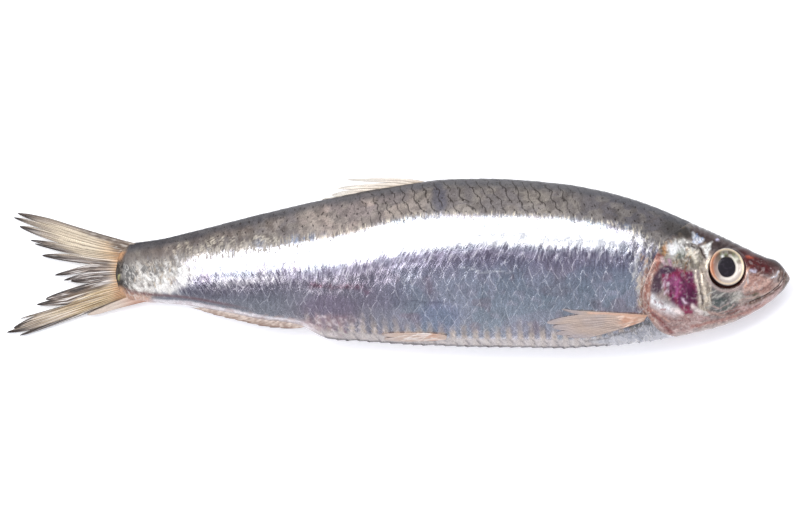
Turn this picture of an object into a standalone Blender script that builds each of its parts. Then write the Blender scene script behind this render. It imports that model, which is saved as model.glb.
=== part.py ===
"""A whole raw brisling, lying on its left side with its right side up.

The fish is one solid: head, trunk and every fin. Its two eyeballs are solids of their own, set in their sockets.
Frame: +X towards the snout, +Y towards the back, +Z up from the surface that the fish lies on. The origin is on
that surface, under the middle of the fish's bounding box. Lengths below are in millimetres. A place on the fish
is given as (distance back from the tip of the lower jaw, height above the origin's line).
"""

import math

import bmesh
import bpy
import numpy as np
from mathutils import Matrix, Vector

MM = 0.001
TOTAL_LENGTH = 120.0

# Outline of the body without its fins, and how it lies, as (distance from the jaw tip, value).
BACK = [(0, -1.5), (2.1, 0.35), (3.7, 0.85), (6.5, 2.15), (10.2, 3.95), (15.3, 6.2), (19.9, 8.2), (26, 10.3),
        (32, 11.6), (38, 12.4), (46, 12.85), (52, 12.75), (61, 11.6), (70, 9.9), (81, 7.4), (90, 5.15), (96, 3.7),
        (99.5, 3.2), (104, 2.8)]
BELLY = [(0, -3.3), (2.1, -5.2), (5.6, -7.6), (8.4, -8.95), (13.8, -10.5), (19.9, -11.7), (26, -12.45),
         (32, -12.85), (42, -12.9), (54, -12.6), (66, -11.9), (71.5, -11.25), (74.5, -9.75), (81, -8.6), (87, -7.4),
         (93, -6.4), (98, -6.1), (104, -5.7)]
HALF_WIDTH = [(0, 1.1), (2, 1.7), (5, 2.6), (9.6, 3.55), (15, 4.5), (21, 5.15), (30, 5.75), (40, 5.95), (50, 5.8),
              (60, 5.2), (70, 4.3), (80, 3.3), (90, 2.3), (97, 1.6), (100.5, 1.2), (104, 0.65)]
MID_PLANE = [(0, 4.6), (15, 5.2), (35, 5.6), (50, 5.45), (60, 5.05), (70, 4.4), (80, 3.65), (90, 2.75), (97, 2.1),
             (104, 1.5), (112, 0.85), (120, 0.5)]
# Sharpness of the section's lower half: 1 is an ellipse, 2 a straight-sided keel.
KEEL = [(0, 1.0), (12, 1.1), (24, 1.35), (45, 1.45), (70, 1.35), (85, 1.1), (104, 1.0)]
FLANK_FULLNESS = 0.9
JAW_TIP_HEIGHT = -2.4
NOSE_ROUNDING = 1.6

# Rear edge of the gill cover, as (share of the body's height above the belly, distance from the jaw tip).
GILL_EDGE = [(0, 17.4), (0.07, 19.9), (0.155, 21.4), (0.24, 22.5), (0.33, 22.8), (0.42, 22.5), (0.52, 21.7),
             (0.63, 20.8), (0.74, 19.6), (0.865, 17.6), (1.0, 15.3)]
GILL_LIFT = 0.5
GILL_STEP = 0.2
# The gill cover stands proud of the head between these shares of the way from the jaw tip to its rear edge.
GILL_LIFT_FROM, GILL_LIFT_FULL = 0.55, 0.95
TAIL_ROOT = 101.8
TAIL_ROOT_BULGE = 1.4

# Engraved lines of the head, each a polyline of places, with its depth and half-width.
MOUTH_LINE = [(0.8, -2.3), (1.2, -2.9), (1.9, -4.0), (3.1, -5.05), (4.6, -5.95), (6.4, -6.7)]
CHEEK_LINE = [(14.4, -0.6), (14.1, -3.0), (13.4, -6.0), (12.6, -8.4)]
MOUTH_GROOVE = (0.45, 0.5)
CHEEK_GROOVE = (0.3, 0.6)

EYE_PLACE = (9.6, -0.65)
EYE_RADIUS = 3.0
EYE_HALF_THICKNESS = 1.5
EYE_PROUD = 0.55
EYE_GAP = 0.3
EYE_SEGMENTS = 28
# Distance each way over which the skin's slope is measured, to turn the eye square to the skin.
SLOPE_REACH = 1.0

HEAD_RINGS = 22
HEAD_RING_CROWDING = 1.35
TRUNK_RINGS = 32
RING_POINTS = 52

# Fins are fans of rays. A border is (root, bend, parting point): the two rays on either side of it share it that
# far, and each ray then runs on alone to its tip. There is one more border than there are tips.
TAIL_BORDERS = [
    ((98.3, 2.6), (102.5, 3.4), (113.0, 6.75)), ((100.4, 2.2), (104.5, 2.7), (113.3, 5.75)),
    ((100.4, 1.8), (105.0, 2.1), (113.0, 4.75)), ((100.4, 1.3), (105.5, 1.3), (111.5, 2.95)),
    ((100.4, 0.9), (105.5, 0.9), (112.8, 2.5)), ((100.4, 0.5), (105.0, 0.4), (109.8, 1.3)),
    ((100.4, -0.6), (103.5, -0.4), (106.9, -0.2)), ((100.4, -1.2), (103.5, -1.0), (107.0, -1.25)),
    ((100.4, -1.7), (104.5, -1.7), (108.8, -2.35)), ((100.4, -2.3), (103.5, -2.3), (107.0, -3.05)),
    ((100.4, -2.9), (105.0, -3.4), (110.8, -5.35)), ((100.4, -3.4), (105.0, -4.1), (110.6, -6.4)),
    ((100.4, -3.8), (106.0, -5.3), (115.6, -8.1)), ((100.4, -4.2), (107.0, -6.2), (117.2, -9.75)),
    ((100.4, -4.5), (106.0, -6.5), (116.3, -10.3)), ((100.4, -4.8), (103.4, -5.8), (106.8, -7.4)),
    ((97.6, -5.7), (101.0, -6.5), (104.5, -7.45)),
]
TAIL_TIPS = [(118.4, 7.65), (119.0, 7.0), (118.05, 5.55), (116.4, 3.55), (115.6, 2.85), (114.5, 1.05),
             (112.7, -1.9), (111.2, -2.6), (110.0, -2.9), (113.8, -5.3), (115.4, -6.4), (117.5, -8.35),
             (118.85, -9.85), (120.0, -10.7), (116.4, -10.8), (107.3, -8.05)]
DORSAL_BORDERS = [
    ((54.0, 11.6), (55.8, 12.95), (61.6, 12.95)), ((56.5, 11.2), (58.5, 12.25), (61.0, 12.25)),
    ((59.5, 10.7), (63.0, 11.6), (67.0, 11.2)), ((62.5, 10.2), (65.5, 10.9), (68.8, 10.2)),
    ((66.5, 9.6), (68.0, 10.0), (70.0, 9.55)),
]
DORSAL_TIPS = [(67.8, 12.7), (68.5, 11.65), (70.0, 10.5), (71.5, 9.75)]
PECTORAL_BORDERS = [
    ((21.8, -7.9), (26.0, -7.6), (33.4, -7.2)), ((22.0, -8.1), (26.5, -7.95), (32.4, -7.9)),
    ((22.2, -8.3), (27.0, -8.5), (34.6, -9.3)), ((22.3, -8.5), (27.0, -9.1), (34.4, -10.3)),
    ((22.4, -8.7), (26.6, -9.6), (33.4, -11.0)), ((22.5, -8.85), (25.9, -10.2), (30.8, -11.4)),
]
PECTORAL_TIPS = [(35.0, -7.1), (37.2, -8.95), (36.4, -9.8), (35.9, -10.85), (33.9, -11.4)]
PELVIC_BORDERS = [
    ((52.4, -11.1), (55.0, -10.5), (59.6, -10.7)), ((52.5, -11.4), (55.5, -11.25), (60.2, -11.35)),
    ((52.6, -11.7), (55.0, -12.05), (59.4, -12.0)),
]
PELVIC_TIPS = [(62.4, -10.95), (62.0, -11.7)]
# The anal fin is folded back along the belly behind the vent. Its rays bend, part and end these distances behind
# their roots, at these shares of the fin's depth below the belly.
ANAL_RAYS = 9
ANAL_START, ANAL_END = 73.4, 89.0
ANAL_DEPTH = [(73, 0.1), (75.5, 0.75), (79, 1.05), (83, 0.95), (88, 0.75), (92.5, 0.1)]
ANAL_BEND, ANAL_PARTING, ANAL_TIP = (1.0, 0.3), (2.4, 0.85), (4.2, 1.0)
ANAL_ROOT_SUNK = 0.7

FIN_ROWS = 5
FIN_ROOT_THICKNESS, FIN_TIP_THICKNESS = 0.9, 0.4
RAY_RIDGE = 0.12
PAIRED_FIN_LIFT, PAIRED_FIN_EMBED = 0.4, 0.35

SKIN = ("silver skin", (0.47, 0.47, 0.52), 0.3, 0.6)
EYE = ("eye", (0.66, 0.58, 0.46), 0.15, 0.4)


def smooth_curve(knots):
    """Returns a function of position: a smooth curve through (position, value) knots."""
    at = np.array([k[0] for k in knots], float)
    value = np.array([k[1] for k in knots], float)
    slope = np.gradient(value, at)

    def read(x):
        x = np.clip(x, at[0], at[-1])
        i = np.clip(np.searchsorted(at, x) - 1, 0, len(at) - 2)
        step = at[i + 1] - at[i]
        t = (x - at[i]) / step
        return (value[i] * (1 + 2 * t) * (1 - t) ** 2 + value[i + 1] * t * t * (3 - 2 * t)
                + step * (slope[i] * t * (1 - t) ** 2 - slope[i + 1] * t * t * (1 - t)))

    return read


back, belly, half_width = smooth_curve(BACK), smooth_curve(BELLY), smooth_curve(HALF_WIDTH)
mid_plane, keel, gill_edge = smooth_curve(MID_PLANE), smooth_curve(KEEL), smooth_curve(GILL_EDGE)


def smoothstep(low, high, x):
    t = np.clip((x - low) / (high - low), 0, 1)
    return t * t * (3 - 2 * t)


def nose(distance):
    """Rounds the section off to nothing at the jaw tip."""
    return np.sqrt(1 - (1 - np.clip(distance / NOSE_ROUNDING, 0, 1)) ** 2)


def centre_and_half_height(distance):
    round_off = nose(distance)
    top = JAW_TIP_HEIGHT + (back(distance) - JAW_TIP_HEIGHT) * round_off
    bottom = JAW_TIP_HEIGHT + (belly(distance) - JAW_TIP_HEIGHT) * round_off
    return (top + bottom) / 2, (top - bottom) / 2


def outline_distance(distance, height, line):
    """Distance from places to a polyline of places."""
    best = np.full(np.shape(distance), np.inf)
    for (x0, y0), (x1, y1) in zip(line, line[1:]):
        dx, dy = x1 - x0, y1 - y0
        t = np.clip(((distance - x0) * dx + (height - y0) * dy) / (dx * dx + dy * dy), 0, 1)
        best = np.minimum(best, np.hypot(distance - x0 - t * dx, height - y0 - t * dy))
    return best


def flank(distance, angle):
    """(height, half-thickness there) at an angle round the section: 0 is the back, pi the belly."""
    centre, half = centre_and_half_height(distance)
    height = centre + half * np.cos(angle)
    power = np.where(np.cos(angle) > 0, FLANK_FULLNESS, keel(distance))
    depth = half_width(distance) * nose(distance) * np.abs(np.sin(angle)) ** power
    for line, (groove, half_groove) in ((MOUTH_LINE, MOUTH_GROOVE), (CHEEK_LINE, CHEEK_GROOVE)):
        near = outline_distance(distance, height, line)
        depth = depth - groove * np.exp(-(near / half_groove) ** 2) * np.minimum(depth, 1)
    return height, depth


def flank_at(distance, height):
    """Half-thickness of the body at a place on it."""
    centre, half = centre_and_half_height(distance)
    angle = np.arccos(np.clip((height - centre) / half, -1, 1))
    return flank(distance, angle)[1]


def skin_at(distance, height, side):
    """Height above the surface of one flank's skin at a place, side 1 being the upper flank."""
    return mid_plane(distance) + side * flank_at(distance, height)


def out_of_skin(distance, height, side):
    """Unit vector out of one flank at a place."""
    tailward, headward = (skin_at(distance + d, height, side) for d in (SLOPE_REACH, -SLOPE_REACH))
    above, below = (skin_at(distance, height + h, side) for h in (SLOPE_REACH, -SLOPE_REACH))
    return side * Vector((tailward - headward, below - above, 2 * SLOPE_REACH)).normalized()


def to_frame(distance, height, z):
    """A place and a height above the surface, in millimetres, as a point of the frame in metres."""
    return Vector((TOTAL_LENGTH / 2 - distance, height, z)) * MM


def object_from(name, points, faces):
    mesh = bpy.data.meshes.new(name)
    mesh.from_pydata([tuple(p) for p in points], [], faces)
    obj = bpy.data.objects.new(name, mesh)
    bpy.context.scene.collection.objects.link(obj)
    made = bmesh.new()
    made.from_mesh(mesh)
    bmesh.ops.recalc_face_normals(made, faces=made.faces)
    made.to_mesh(mesh)
    made.free()
    return obj


def body_rings():
    """(side of each ring's points, 1 or -1, and the rings of (distance, height, depth) from nose to tail root).

    The gill cover's rear edge is a ring, with the next one close behind it and lower.
    """
    angle = np.linspace(0, 2 * math.pi, RING_POINTS, endpoint=False)
    share_up = (np.cos(angle) + 1) / 2
    edge = gill_edge(share_up)
    end = TAIL_ROOT + TAIL_ROOT_BULGE * np.sin(angle) ** 2
    rings = []
    for i in range(1, HEAD_RINGS + 1):
        share = (i / HEAD_RINGS) ** HEAD_RING_CROWDING
        height, depth = flank(edge * share, angle)
        lift = GILL_LIFT * smoothstep(GILL_LIFT_FROM, GILL_LIFT_FULL, share) * np.abs(np.sin(angle))
        rings.append((edge * share, height, depth + lift))
    for i in range(TRUNK_RINGS + 1):
        distance = edge + GILL_STEP + (end - edge - GILL_STEP) * i / TRUNK_RINGS
        rings.append((distance, *flank(distance, angle)))
    return np.sign(np.sin(angle)), rings


def make_body():
    """The head and trunk as one lofted skin, pressed flat where it lies on the surface."""
    side, rings = body_rings()
    points = [to_frame(0, JAW_TIP_HEIGHT, mid_plane(0))]
    for distance, height, depth in rings:
        z = np.maximum(mid_plane(distance) + side * depth, 0)
        points += [to_frame(*place) for place in zip(distance, height, z)]
    n = RING_POINTS
    faces = [(0, 1 + j, 1 + (j + 1) % n) for j in range(n)]
    for ring in range(len(rings) - 1):
        first = 1 + ring * n
        for j in range(n):
            k = (j + 1) % n
            faces.append((first + j, first + n + j, first + n + k, first + k))
    last = 1 + (len(rings) - 1) * n
    faces.append(tuple(range(last, last + n)))
    return object_from("brisling", points, faces)


def bend(root, via, end, t):
    """A point on the quadratic curve from root to end that bends towards via."""
    return tuple((1 - t) ** 2 * a + 2 * t * (1 - t) * b + t * t * c for a, b, c in zip(root, via, end))


def fan(borders, tips):
    """(places, is a ridge, faces) of a fan of rays as a flat sheet, in one piece up to where the rays part.

    Each ray has a ridge along its middle, and a point at its tip.
    """
    lines = [[bend(*border, i / FIN_ROWS) for i in range(FIN_ROWS + 1)] for border in borders]
    ridges = [[tuple((a + b) / 2 for a, b in zip(*pair)) for pair in zip(left, right)]
              for left, right in zip(lines, lines[1:])]
    columns = [lines[0]]
    for ridge, line in zip(ridges, lines[1:]):
        columns += [ridge, line]
    places = [place for column in columns for place in column] + list(tips)
    rows = FIN_ROWS + 1
    faces = []
    for left in range(len(columns) - 1):
        for i in range(FIN_ROWS):
            a, b = left * rows + i, (left + 1) * rows + i
            faces += [(a, a + 1, b), (b, a + 1, b + 1)]
        tip = len(columns) * rows + left // 2
        faces.append((left * rows + FIN_ROWS, tip, (left + 1) * rows + FIN_ROWS))
    is_ridge = [column % 2 for column in range(len(columns)) for _ in range(rows)] + [0] * len(tips)
    return places, np.array(is_ridge), faces


def slab(name, places, faces, top, bottom):
    """A closed solid between two heights over a flat sheet, both faces split into the same triangles."""
    n = len(places)
    points = [to_frame(*p, z) for p, z in zip(places, top)] + [to_frame(*p, z) for p, z in zip(places, bottom)]
    edges = {}
    for face in faces:
        for a, b in zip(face, face[1:] + face[:1]):
            edges[(a, b)] = (b, a)
    rim = [edge for edge in edges if edges[edge] not in edges]
    solid = list(faces) + [tuple(n + v for v in reversed(face)) for face in faces]
    for a, b in rim:
        solid += [(b, a, n + a), (b, n + a, n + b)]
    return object_from(name, points, solid)


def median_fin(name, borders, tips):
    """A fin in the fish's mid-plane: tail, dorsal or anal. It thins from its root to its tips."""
    places, ridge, faces = fan(borders, tips)
    distance, height = np.array(places).T
    reach = smoothstep(distance.min(), distance.max(), distance)
    thickness = FIN_ROOT_THICKNESS + (FIN_TIP_THICKNESS - FIN_ROOT_THICKNESS) * reach
    thickness = thickness + RAY_RIDGE * ridge
    middle = np.maximum(mid_plane(distance), thickness / 2)
    return slab(name, places, faces, middle + thickness / 2, middle - thickness / 2)


def paired_fin(name, borders, tips, side):
    """A fin laid flat against one flank, side 1 being the upper one. Its inner face is sunk in the body."""
    places, ridge, faces = fan(borders, tips)
    distance, height = np.array(places).T
    depth = flank_at(distance, height)
    outer = mid_plane(distance) + side * (depth + PAIRED_FIN_LIFT + RAY_RIDGE * ridge)
    inner = mid_plane(distance) + side * (depth - PAIRED_FIN_EMBED)
    return slab(name, places, faces, *((outer, inner) if side > 0 else (inner, outer)))


def anal_rays():
    """Borders and tips of the anal fin's rays."""
    fin_depth = smooth_curve(ANAL_DEPTH)

    def below_belly(distance, share):
        return distance, belly(distance) - share * fin_depth(distance)

    roots = np.linspace(ANAL_START, ANAL_END, ANAL_RAYS + 1)
    borders = [((root, belly(root) + ANAL_ROOT_SUNK), below_belly(root + ANAL_BEND[0], ANAL_BEND[1]),
                below_belly(root + ANAL_PARTING[0], ANAL_PARTING[1])) for root in roots]
    tips = [below_belly(root + ANAL_TIP[0], ANAL_TIP[1]) for root in roots[:-1]]
    return borders, tips


def make_fins():
    return [
        median_fin("tail_fin", TAIL_BORDERS, TAIL_TIPS),
        median_fin("dorsal_fin", DORSAL_BORDERS, DORSAL_TIPS),
        median_fin("anal_fin", *anal_rays()),
        *[paired_fin(f"pectoral_fin_{side}", PECTORAL_BORDERS, PECTORAL_TIPS, side) for side in (1, -1)],
        *[paired_fin(f"pelvic_fin_{side}", PELVIC_BORDERS, PELVIC_TIPS, side) for side in (1, -1)],
    ]


def eyeball(name, side, grow=0.0):
    """An eyeball, flatter across than it is round, on one side of the head. grow enlarges it for its socket."""
    made = bmesh.new()
    bmesh.ops.create_uvsphere(made, u_segments=EYE_SEGMENTS, v_segments=EYE_SEGMENTS // 2, radius=1.0)
    radius = (EYE_RADIUS + grow) * MM
    made.transform(Matrix.Diagonal((radius, radius, (EYE_HALF_THICKNESS + grow) * MM, 1)))
    mesh = bpy.data.meshes.new(name)
    made.to_mesh(mesh)
    made.free()
    mesh.shade_smooth()
    obj = bpy.data.objects.new(name, mesh)
    bpy.context.scene.collection.objects.link(obj)
    out = out_of_skin(*EYE_PLACE, side)
    skin = to_frame(*EYE_PLACE, skin_at(*EYE_PLACE, side))
    obj.location = skin - out * (EYE_HALF_THICKNESS - EYE_PROUD) * MM
    obj.rotation_euler = out.to_track_quat("Z", "Y").to_euler()
    return obj


def paint(obj, finish):
    name, colour, roughness, metallic = finish
    material = bpy.data.materials.get(name)
    if material is None:
        material = bpy.data.materials.new(name)
        material.use_nodes = True
        shader = material.node_tree.nodes["Principled BSDF"]
        shader.inputs["Base Color"].default_value = (*colour, 1)
        shader.inputs["Roughness"].default_value = roughness
        shader.inputs["Metallic"].default_value = metallic
    obj.data.materials.clear()
    obj.data.materials.append(material)


def apply_boolean(obj, others, operation):
    """Joins the other objects to obj or cuts them from it, in one Boolean on a collection, then removes them."""
    tools = bpy.data.collections.new("boolean tools")
    bpy.context.scene.collection.children.link(tools)
    for other in others:
        bpy.context.scene.collection.objects.unlink(other)
        tools.objects.link(other)
        other.hide_render = True
        other.display_type = "WIRE"
    modifier = obj.modifiers.new(operation.lower(), "BOOLEAN")
    modifier.operation = operation
    modifier.operand_type = "COLLECTION"
    modifier.collection = tools
    modifier.solver = "EXACT"
    bpy.context.view_layer.update()
    evaluated = obj.evaluated_get(bpy.context.evaluated_depsgraph_get())
    mesh = bpy.data.meshes.new_from_object(evaluated)
    obj.modifiers.clear()
    obj.data = mesh
    for other in others:
        bpy.data.objects.remove(other)
    bpy.data.collections.remove(tools)


def main():
    for obj in list(bpy.data.objects):
        bpy.data.objects.remove(obj)
    fish = make_body()
    apply_boolean(fish, make_fins(), "UNION")
    sockets = [eyeball(f"socket_{side}", side, EYE_GAP) for side in (1, -1)]
    apply_boolean(fish, sockets, "DIFFERENCE")
    fish.data.shade_smooth()
    fish.data.set_sharp_from_angle(angle=math.radians(40))
    paint(fish, SKIN)
    for name, side in (("eye_right", 1), ("eye_left", -1)):
        paint(eyeball(name, side), EYE)


main()
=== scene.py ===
"""The looks of a whole raw brisling that lies on its left side, right side up.

Lengths are in millimetres until they become points of a mesh. A place on the fish is given as (distance back
from the tip of the lower jaw, height towards the back from the frame's X axis). Colours are red, green and
blue from 0 to 255, as a screen shows them.
"""
import math

import bpy
import numpy as np
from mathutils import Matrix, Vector


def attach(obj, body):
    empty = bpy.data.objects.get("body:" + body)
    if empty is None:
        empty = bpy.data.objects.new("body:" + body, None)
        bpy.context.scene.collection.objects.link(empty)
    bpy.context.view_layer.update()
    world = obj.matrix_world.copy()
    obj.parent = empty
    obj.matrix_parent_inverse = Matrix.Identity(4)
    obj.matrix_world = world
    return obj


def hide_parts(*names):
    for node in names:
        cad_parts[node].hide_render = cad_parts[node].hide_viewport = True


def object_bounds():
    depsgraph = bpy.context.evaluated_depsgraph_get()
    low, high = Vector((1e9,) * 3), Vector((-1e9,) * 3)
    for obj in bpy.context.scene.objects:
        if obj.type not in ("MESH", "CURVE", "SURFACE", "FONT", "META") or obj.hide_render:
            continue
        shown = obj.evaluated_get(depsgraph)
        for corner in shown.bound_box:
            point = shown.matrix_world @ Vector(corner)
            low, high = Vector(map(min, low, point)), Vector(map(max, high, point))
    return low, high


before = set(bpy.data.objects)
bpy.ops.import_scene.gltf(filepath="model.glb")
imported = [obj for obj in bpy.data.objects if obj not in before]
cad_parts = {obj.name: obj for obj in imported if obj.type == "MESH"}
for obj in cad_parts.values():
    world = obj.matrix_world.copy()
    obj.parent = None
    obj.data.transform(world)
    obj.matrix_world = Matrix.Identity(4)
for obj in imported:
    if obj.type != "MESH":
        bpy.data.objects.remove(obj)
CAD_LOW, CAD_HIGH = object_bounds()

MM = 0.001
JAW_X = CAD_HIGH.x / MM
BODY = "root"

# Outline of the body without its fins, and how it lies, as in the solids.
BACK = [(0, -1.5), (2.1, 0.35), (3.7, 0.85), (6.5, 2.15), (10.2, 3.95), (15.3, 6.2), (19.9, 8.2),
        (26, 10.3), (32, 11.6), (38, 12.4), (46, 12.85), (52, 12.75), (61, 11.6), (70, 9.9), (81, 7.4),
        (90, 5.15), (96, 3.7), (99.5, 3.2), (104, 2.8)]
BELLY = [(0, -3.3), (2.1, -5.2), (5.6, -7.6), (8.4, -8.95), (13.8, -10.5), (19.9, -11.7), (26, -12.45),
         (32, -12.85), (42, -12.9), (54, -12.6), (66, -11.9), (71.5, -11.25), (74.5, -9.75), (81, -8.6),
         (87, -7.4), (93, -6.4), (98, -6.1), (104, -5.7)]
HALF_WIDTH = [(0, 1.1), (2, 1.7), (5, 2.6), (9.6, 3.55), (15, 4.5), (21, 5.15), (30, 5.75), (40, 5.95),
              (50, 5.8), (60, 5.2), (70, 4.3), (80, 3.3), (90, 2.3), (97, 1.6), (100.5, 1.2),
              (104, 0.65)]
MID_PLANE = [(0, 4.6), (15, 5.2), (35, 5.6), (50, 5.45), (60, 5.05), (70, 4.4), (80, 3.65), (90, 2.75),
             (97, 2.1), (104, 1.5), (112, 0.85), (120, 0.5)]
KEEL = [(0, 1.0), (12, 1.1), (24, 1.35), (45, 1.45), (70, 1.35), (85, 1.1), (104, 1.0)]
FLANK_FULLNESS = 0.9
JAW_TIP_HEIGHT = -2.4
NOSE_ROUNDING = 1.6
GILL_EDGE = [(0, 17.4), (0.07, 19.9), (0.155, 21.4), (0.24, 22.5), (0.33, 22.8), (0.42, 22.5), (0.52, 21.7),
             (0.63, 20.8), (0.74, 19.6), (0.865, 17.6), (1.0, 15.3)]
TAIL_ROOT = 101.8
TAIL_ROOT_BULGE = 1.4
FLOOR_SOFTNESS = 0.2

HEAD_RINGS, HEAD_POINTS = 180, 360
TRUNK_RINGS, TRUNK_POINTS = 300, 320
RINGS_CLOSER_AT_ENDS = 0.05
# How far the trunk reaches forwards under the gill covers.
UNDER_GILL_COVER = 1.5

# Scales: their spacing along and across the body at its deepest, and their size elsewhere as a share of it.
SCALE_PITCH, SCALE_ROW = 1.71, 1.95
SCALE_SIZE = [(14, 0.8), (25, 0.95), (45, 1.0), (70, 0.92), (90, 0.75), (104, 0.6)]
SCALE_BULGE, SCALE_ROUNDNESS = 0.58, 1.4
SCALE_RELIEF = 0.05
SCUTE_PITCH, SCUTE_RELIEF = 1.65, 0.16

EYE = (9.9, -0.62)
SOCKET = (9.8, -1.05)
SOCKET_RADII = (2.8, 2.86)
MOUTH = [(0.7, -1.3), (1.0, -2.5), (1.9, -3.6), (2.9, -4.45), (4.4, -5.3), (6.2, -6.0)]


def smooth_curve(knots):
    """Returns a function of position: a smooth curve through (position, value) knots."""
    at = np.array([k[0] for k in knots], float)
    value = np.array([k[1] for k in knots], float)
    slope = np.gradient(value, at)

    def read(x):
        x = np.clip(x, at[0], at[-1])
        i = np.clip(np.searchsorted(at, x) - 1, 0, len(at) - 2)
        step = at[i + 1] - at[i]
        t = (x - at[i]) / step
        return (value[i] * (1 + 2 * t) * (1 - t) ** 2 + value[i + 1] * t * t * (3 - 2 * t)
                + step * (slope[i] * t * (1 - t) ** 2 - slope[i + 1] * t * t * (1 - t)))

    return read


back, belly, half_width = smooth_curve(BACK), smooth_curve(BELLY), smooth_curve(HALF_WIDTH)
mid_plane, keel, gill_edge = smooth_curve(MID_PLANE), smooth_curve(KEEL), smooth_curve(GILL_EDGE)
scale_size = smooth_curve(SCALE_SIZE)


def rise(low, high, x):
    """0 at low, 1 at high and smooth between them; high may be the smaller number."""
    t = np.clip((x - low) / (high - low), 0, 1)
    return t * t * (3 - 2 * t)


def fall(low, high, x):
    """1 at low, 0 at high and smooth between them."""
    return 1 - rise(low, high, x)


def hump(off, width):
    """1 where off is 0, fading on both sides over about this width."""
    return np.exp(-(off / width) ** 2)


LATTICE_SIZE = 32
LATTICE = np.random.default_rng(11).random((LATTICE_SIZE,) * 3)
LATTICE_SHIFT = 7.31


def noise(points, size, seed=0):
    """Smooth random values from 0 to 1 at 3-D points, which change over about this size."""
    p = np.asarray(points) / size + seed * LATTICE_SHIFT
    i = np.floor(p).astype(int)
    f = p - i
    f = f * f * (3 - 2 * f)
    total = 0
    for corner in np.ndindex(2, 2, 2):
        weight = 1
        for axis in range(3):
            weight = weight * (f[..., axis] if corner[axis] else 1 - f[..., axis])
        x, y, z = ((i[..., axis] + corner[axis]) % LATTICE_SIZE for axis in range(3))
        total = total + weight * LATTICE[x, y, z]
    return total


def nose(distance):
    """Rounds the section off to nothing at the jaw tip."""
    return np.sqrt(1 - (1 - np.clip(distance / NOSE_ROUNDING, 0, 1)) ** 2)


def centre_and_half_height(distance):
    round_off = nose(distance)
    top = JAW_TIP_HEIGHT + (back(distance) - JAW_TIP_HEIGHT) * round_off
    bottom = JAW_TIP_HEIGHT + (belly(distance) - JAW_TIP_HEIGHT) * round_off
    return (top + bottom) / 2, (top - bottom) / 2


def flank(distance, angle):
    """(height, half-thickness there) at an angle round the section: 0 is the back, pi the belly."""
    centre, half = centre_and_half_height(distance)
    power = np.where(np.cos(angle) > 0, FLANK_FULLNESS, keel(distance))
    depth = half_width(distance) * nose(distance) * np.abs(np.sin(angle)) ** power
    return centre + half * np.cos(angle), depth


def flank_at(distance, height):
    """Half-thickness of the body at a place on it."""
    centre, half = centre_and_half_height(distance)
    angle = np.arccos(np.clip((height - centre) / half, -1, 1))
    return flank(distance, angle)[1]


def line_distance(distance, height, line):
    """Distance from places to a polyline of places."""
    best = np.full(np.shape(distance), np.inf)
    for (x0, y0), (x1, y1) in zip(line, line[1:]):
        dx, dy = x1 - x0, y1 - y0
        t = np.clip(((distance - x0) * dx + (height - y0) * dy) / (dx * dx + dy * dy), 0, 1)
        best = np.minimum(best, np.hypot(distance - x0 - t * dx, height - y0 - t * dy))
    return best


def is_inside(distance, height, outline):
    """Which places lie inside a closed outline of places."""
    inside = np.zeros(np.shape(distance), bool)
    for (x0, y0), (x1, y1) in zip(outline, outline[1:] + outline[:1]):
        if y0 != y1:
            crosses = (y0 > height) != (y1 > height)
            inside ^= crosses & (distance < x0 + (x1 - x0) * (height - y0) / (y1 - y0))
    return inside


def linear(colour):
    """A screen colour as the light that it stands for."""
    c = np.array(colour, float) / 255
    return np.where(c <= 0.04045, c / 12.92, ((c + 0.055) / 1.055) ** 2.4)


SPECK_SOFTNESS = 0.08
# How far the directions of dashes differ, in degrees.
DASH_SPREAD = 14


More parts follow.
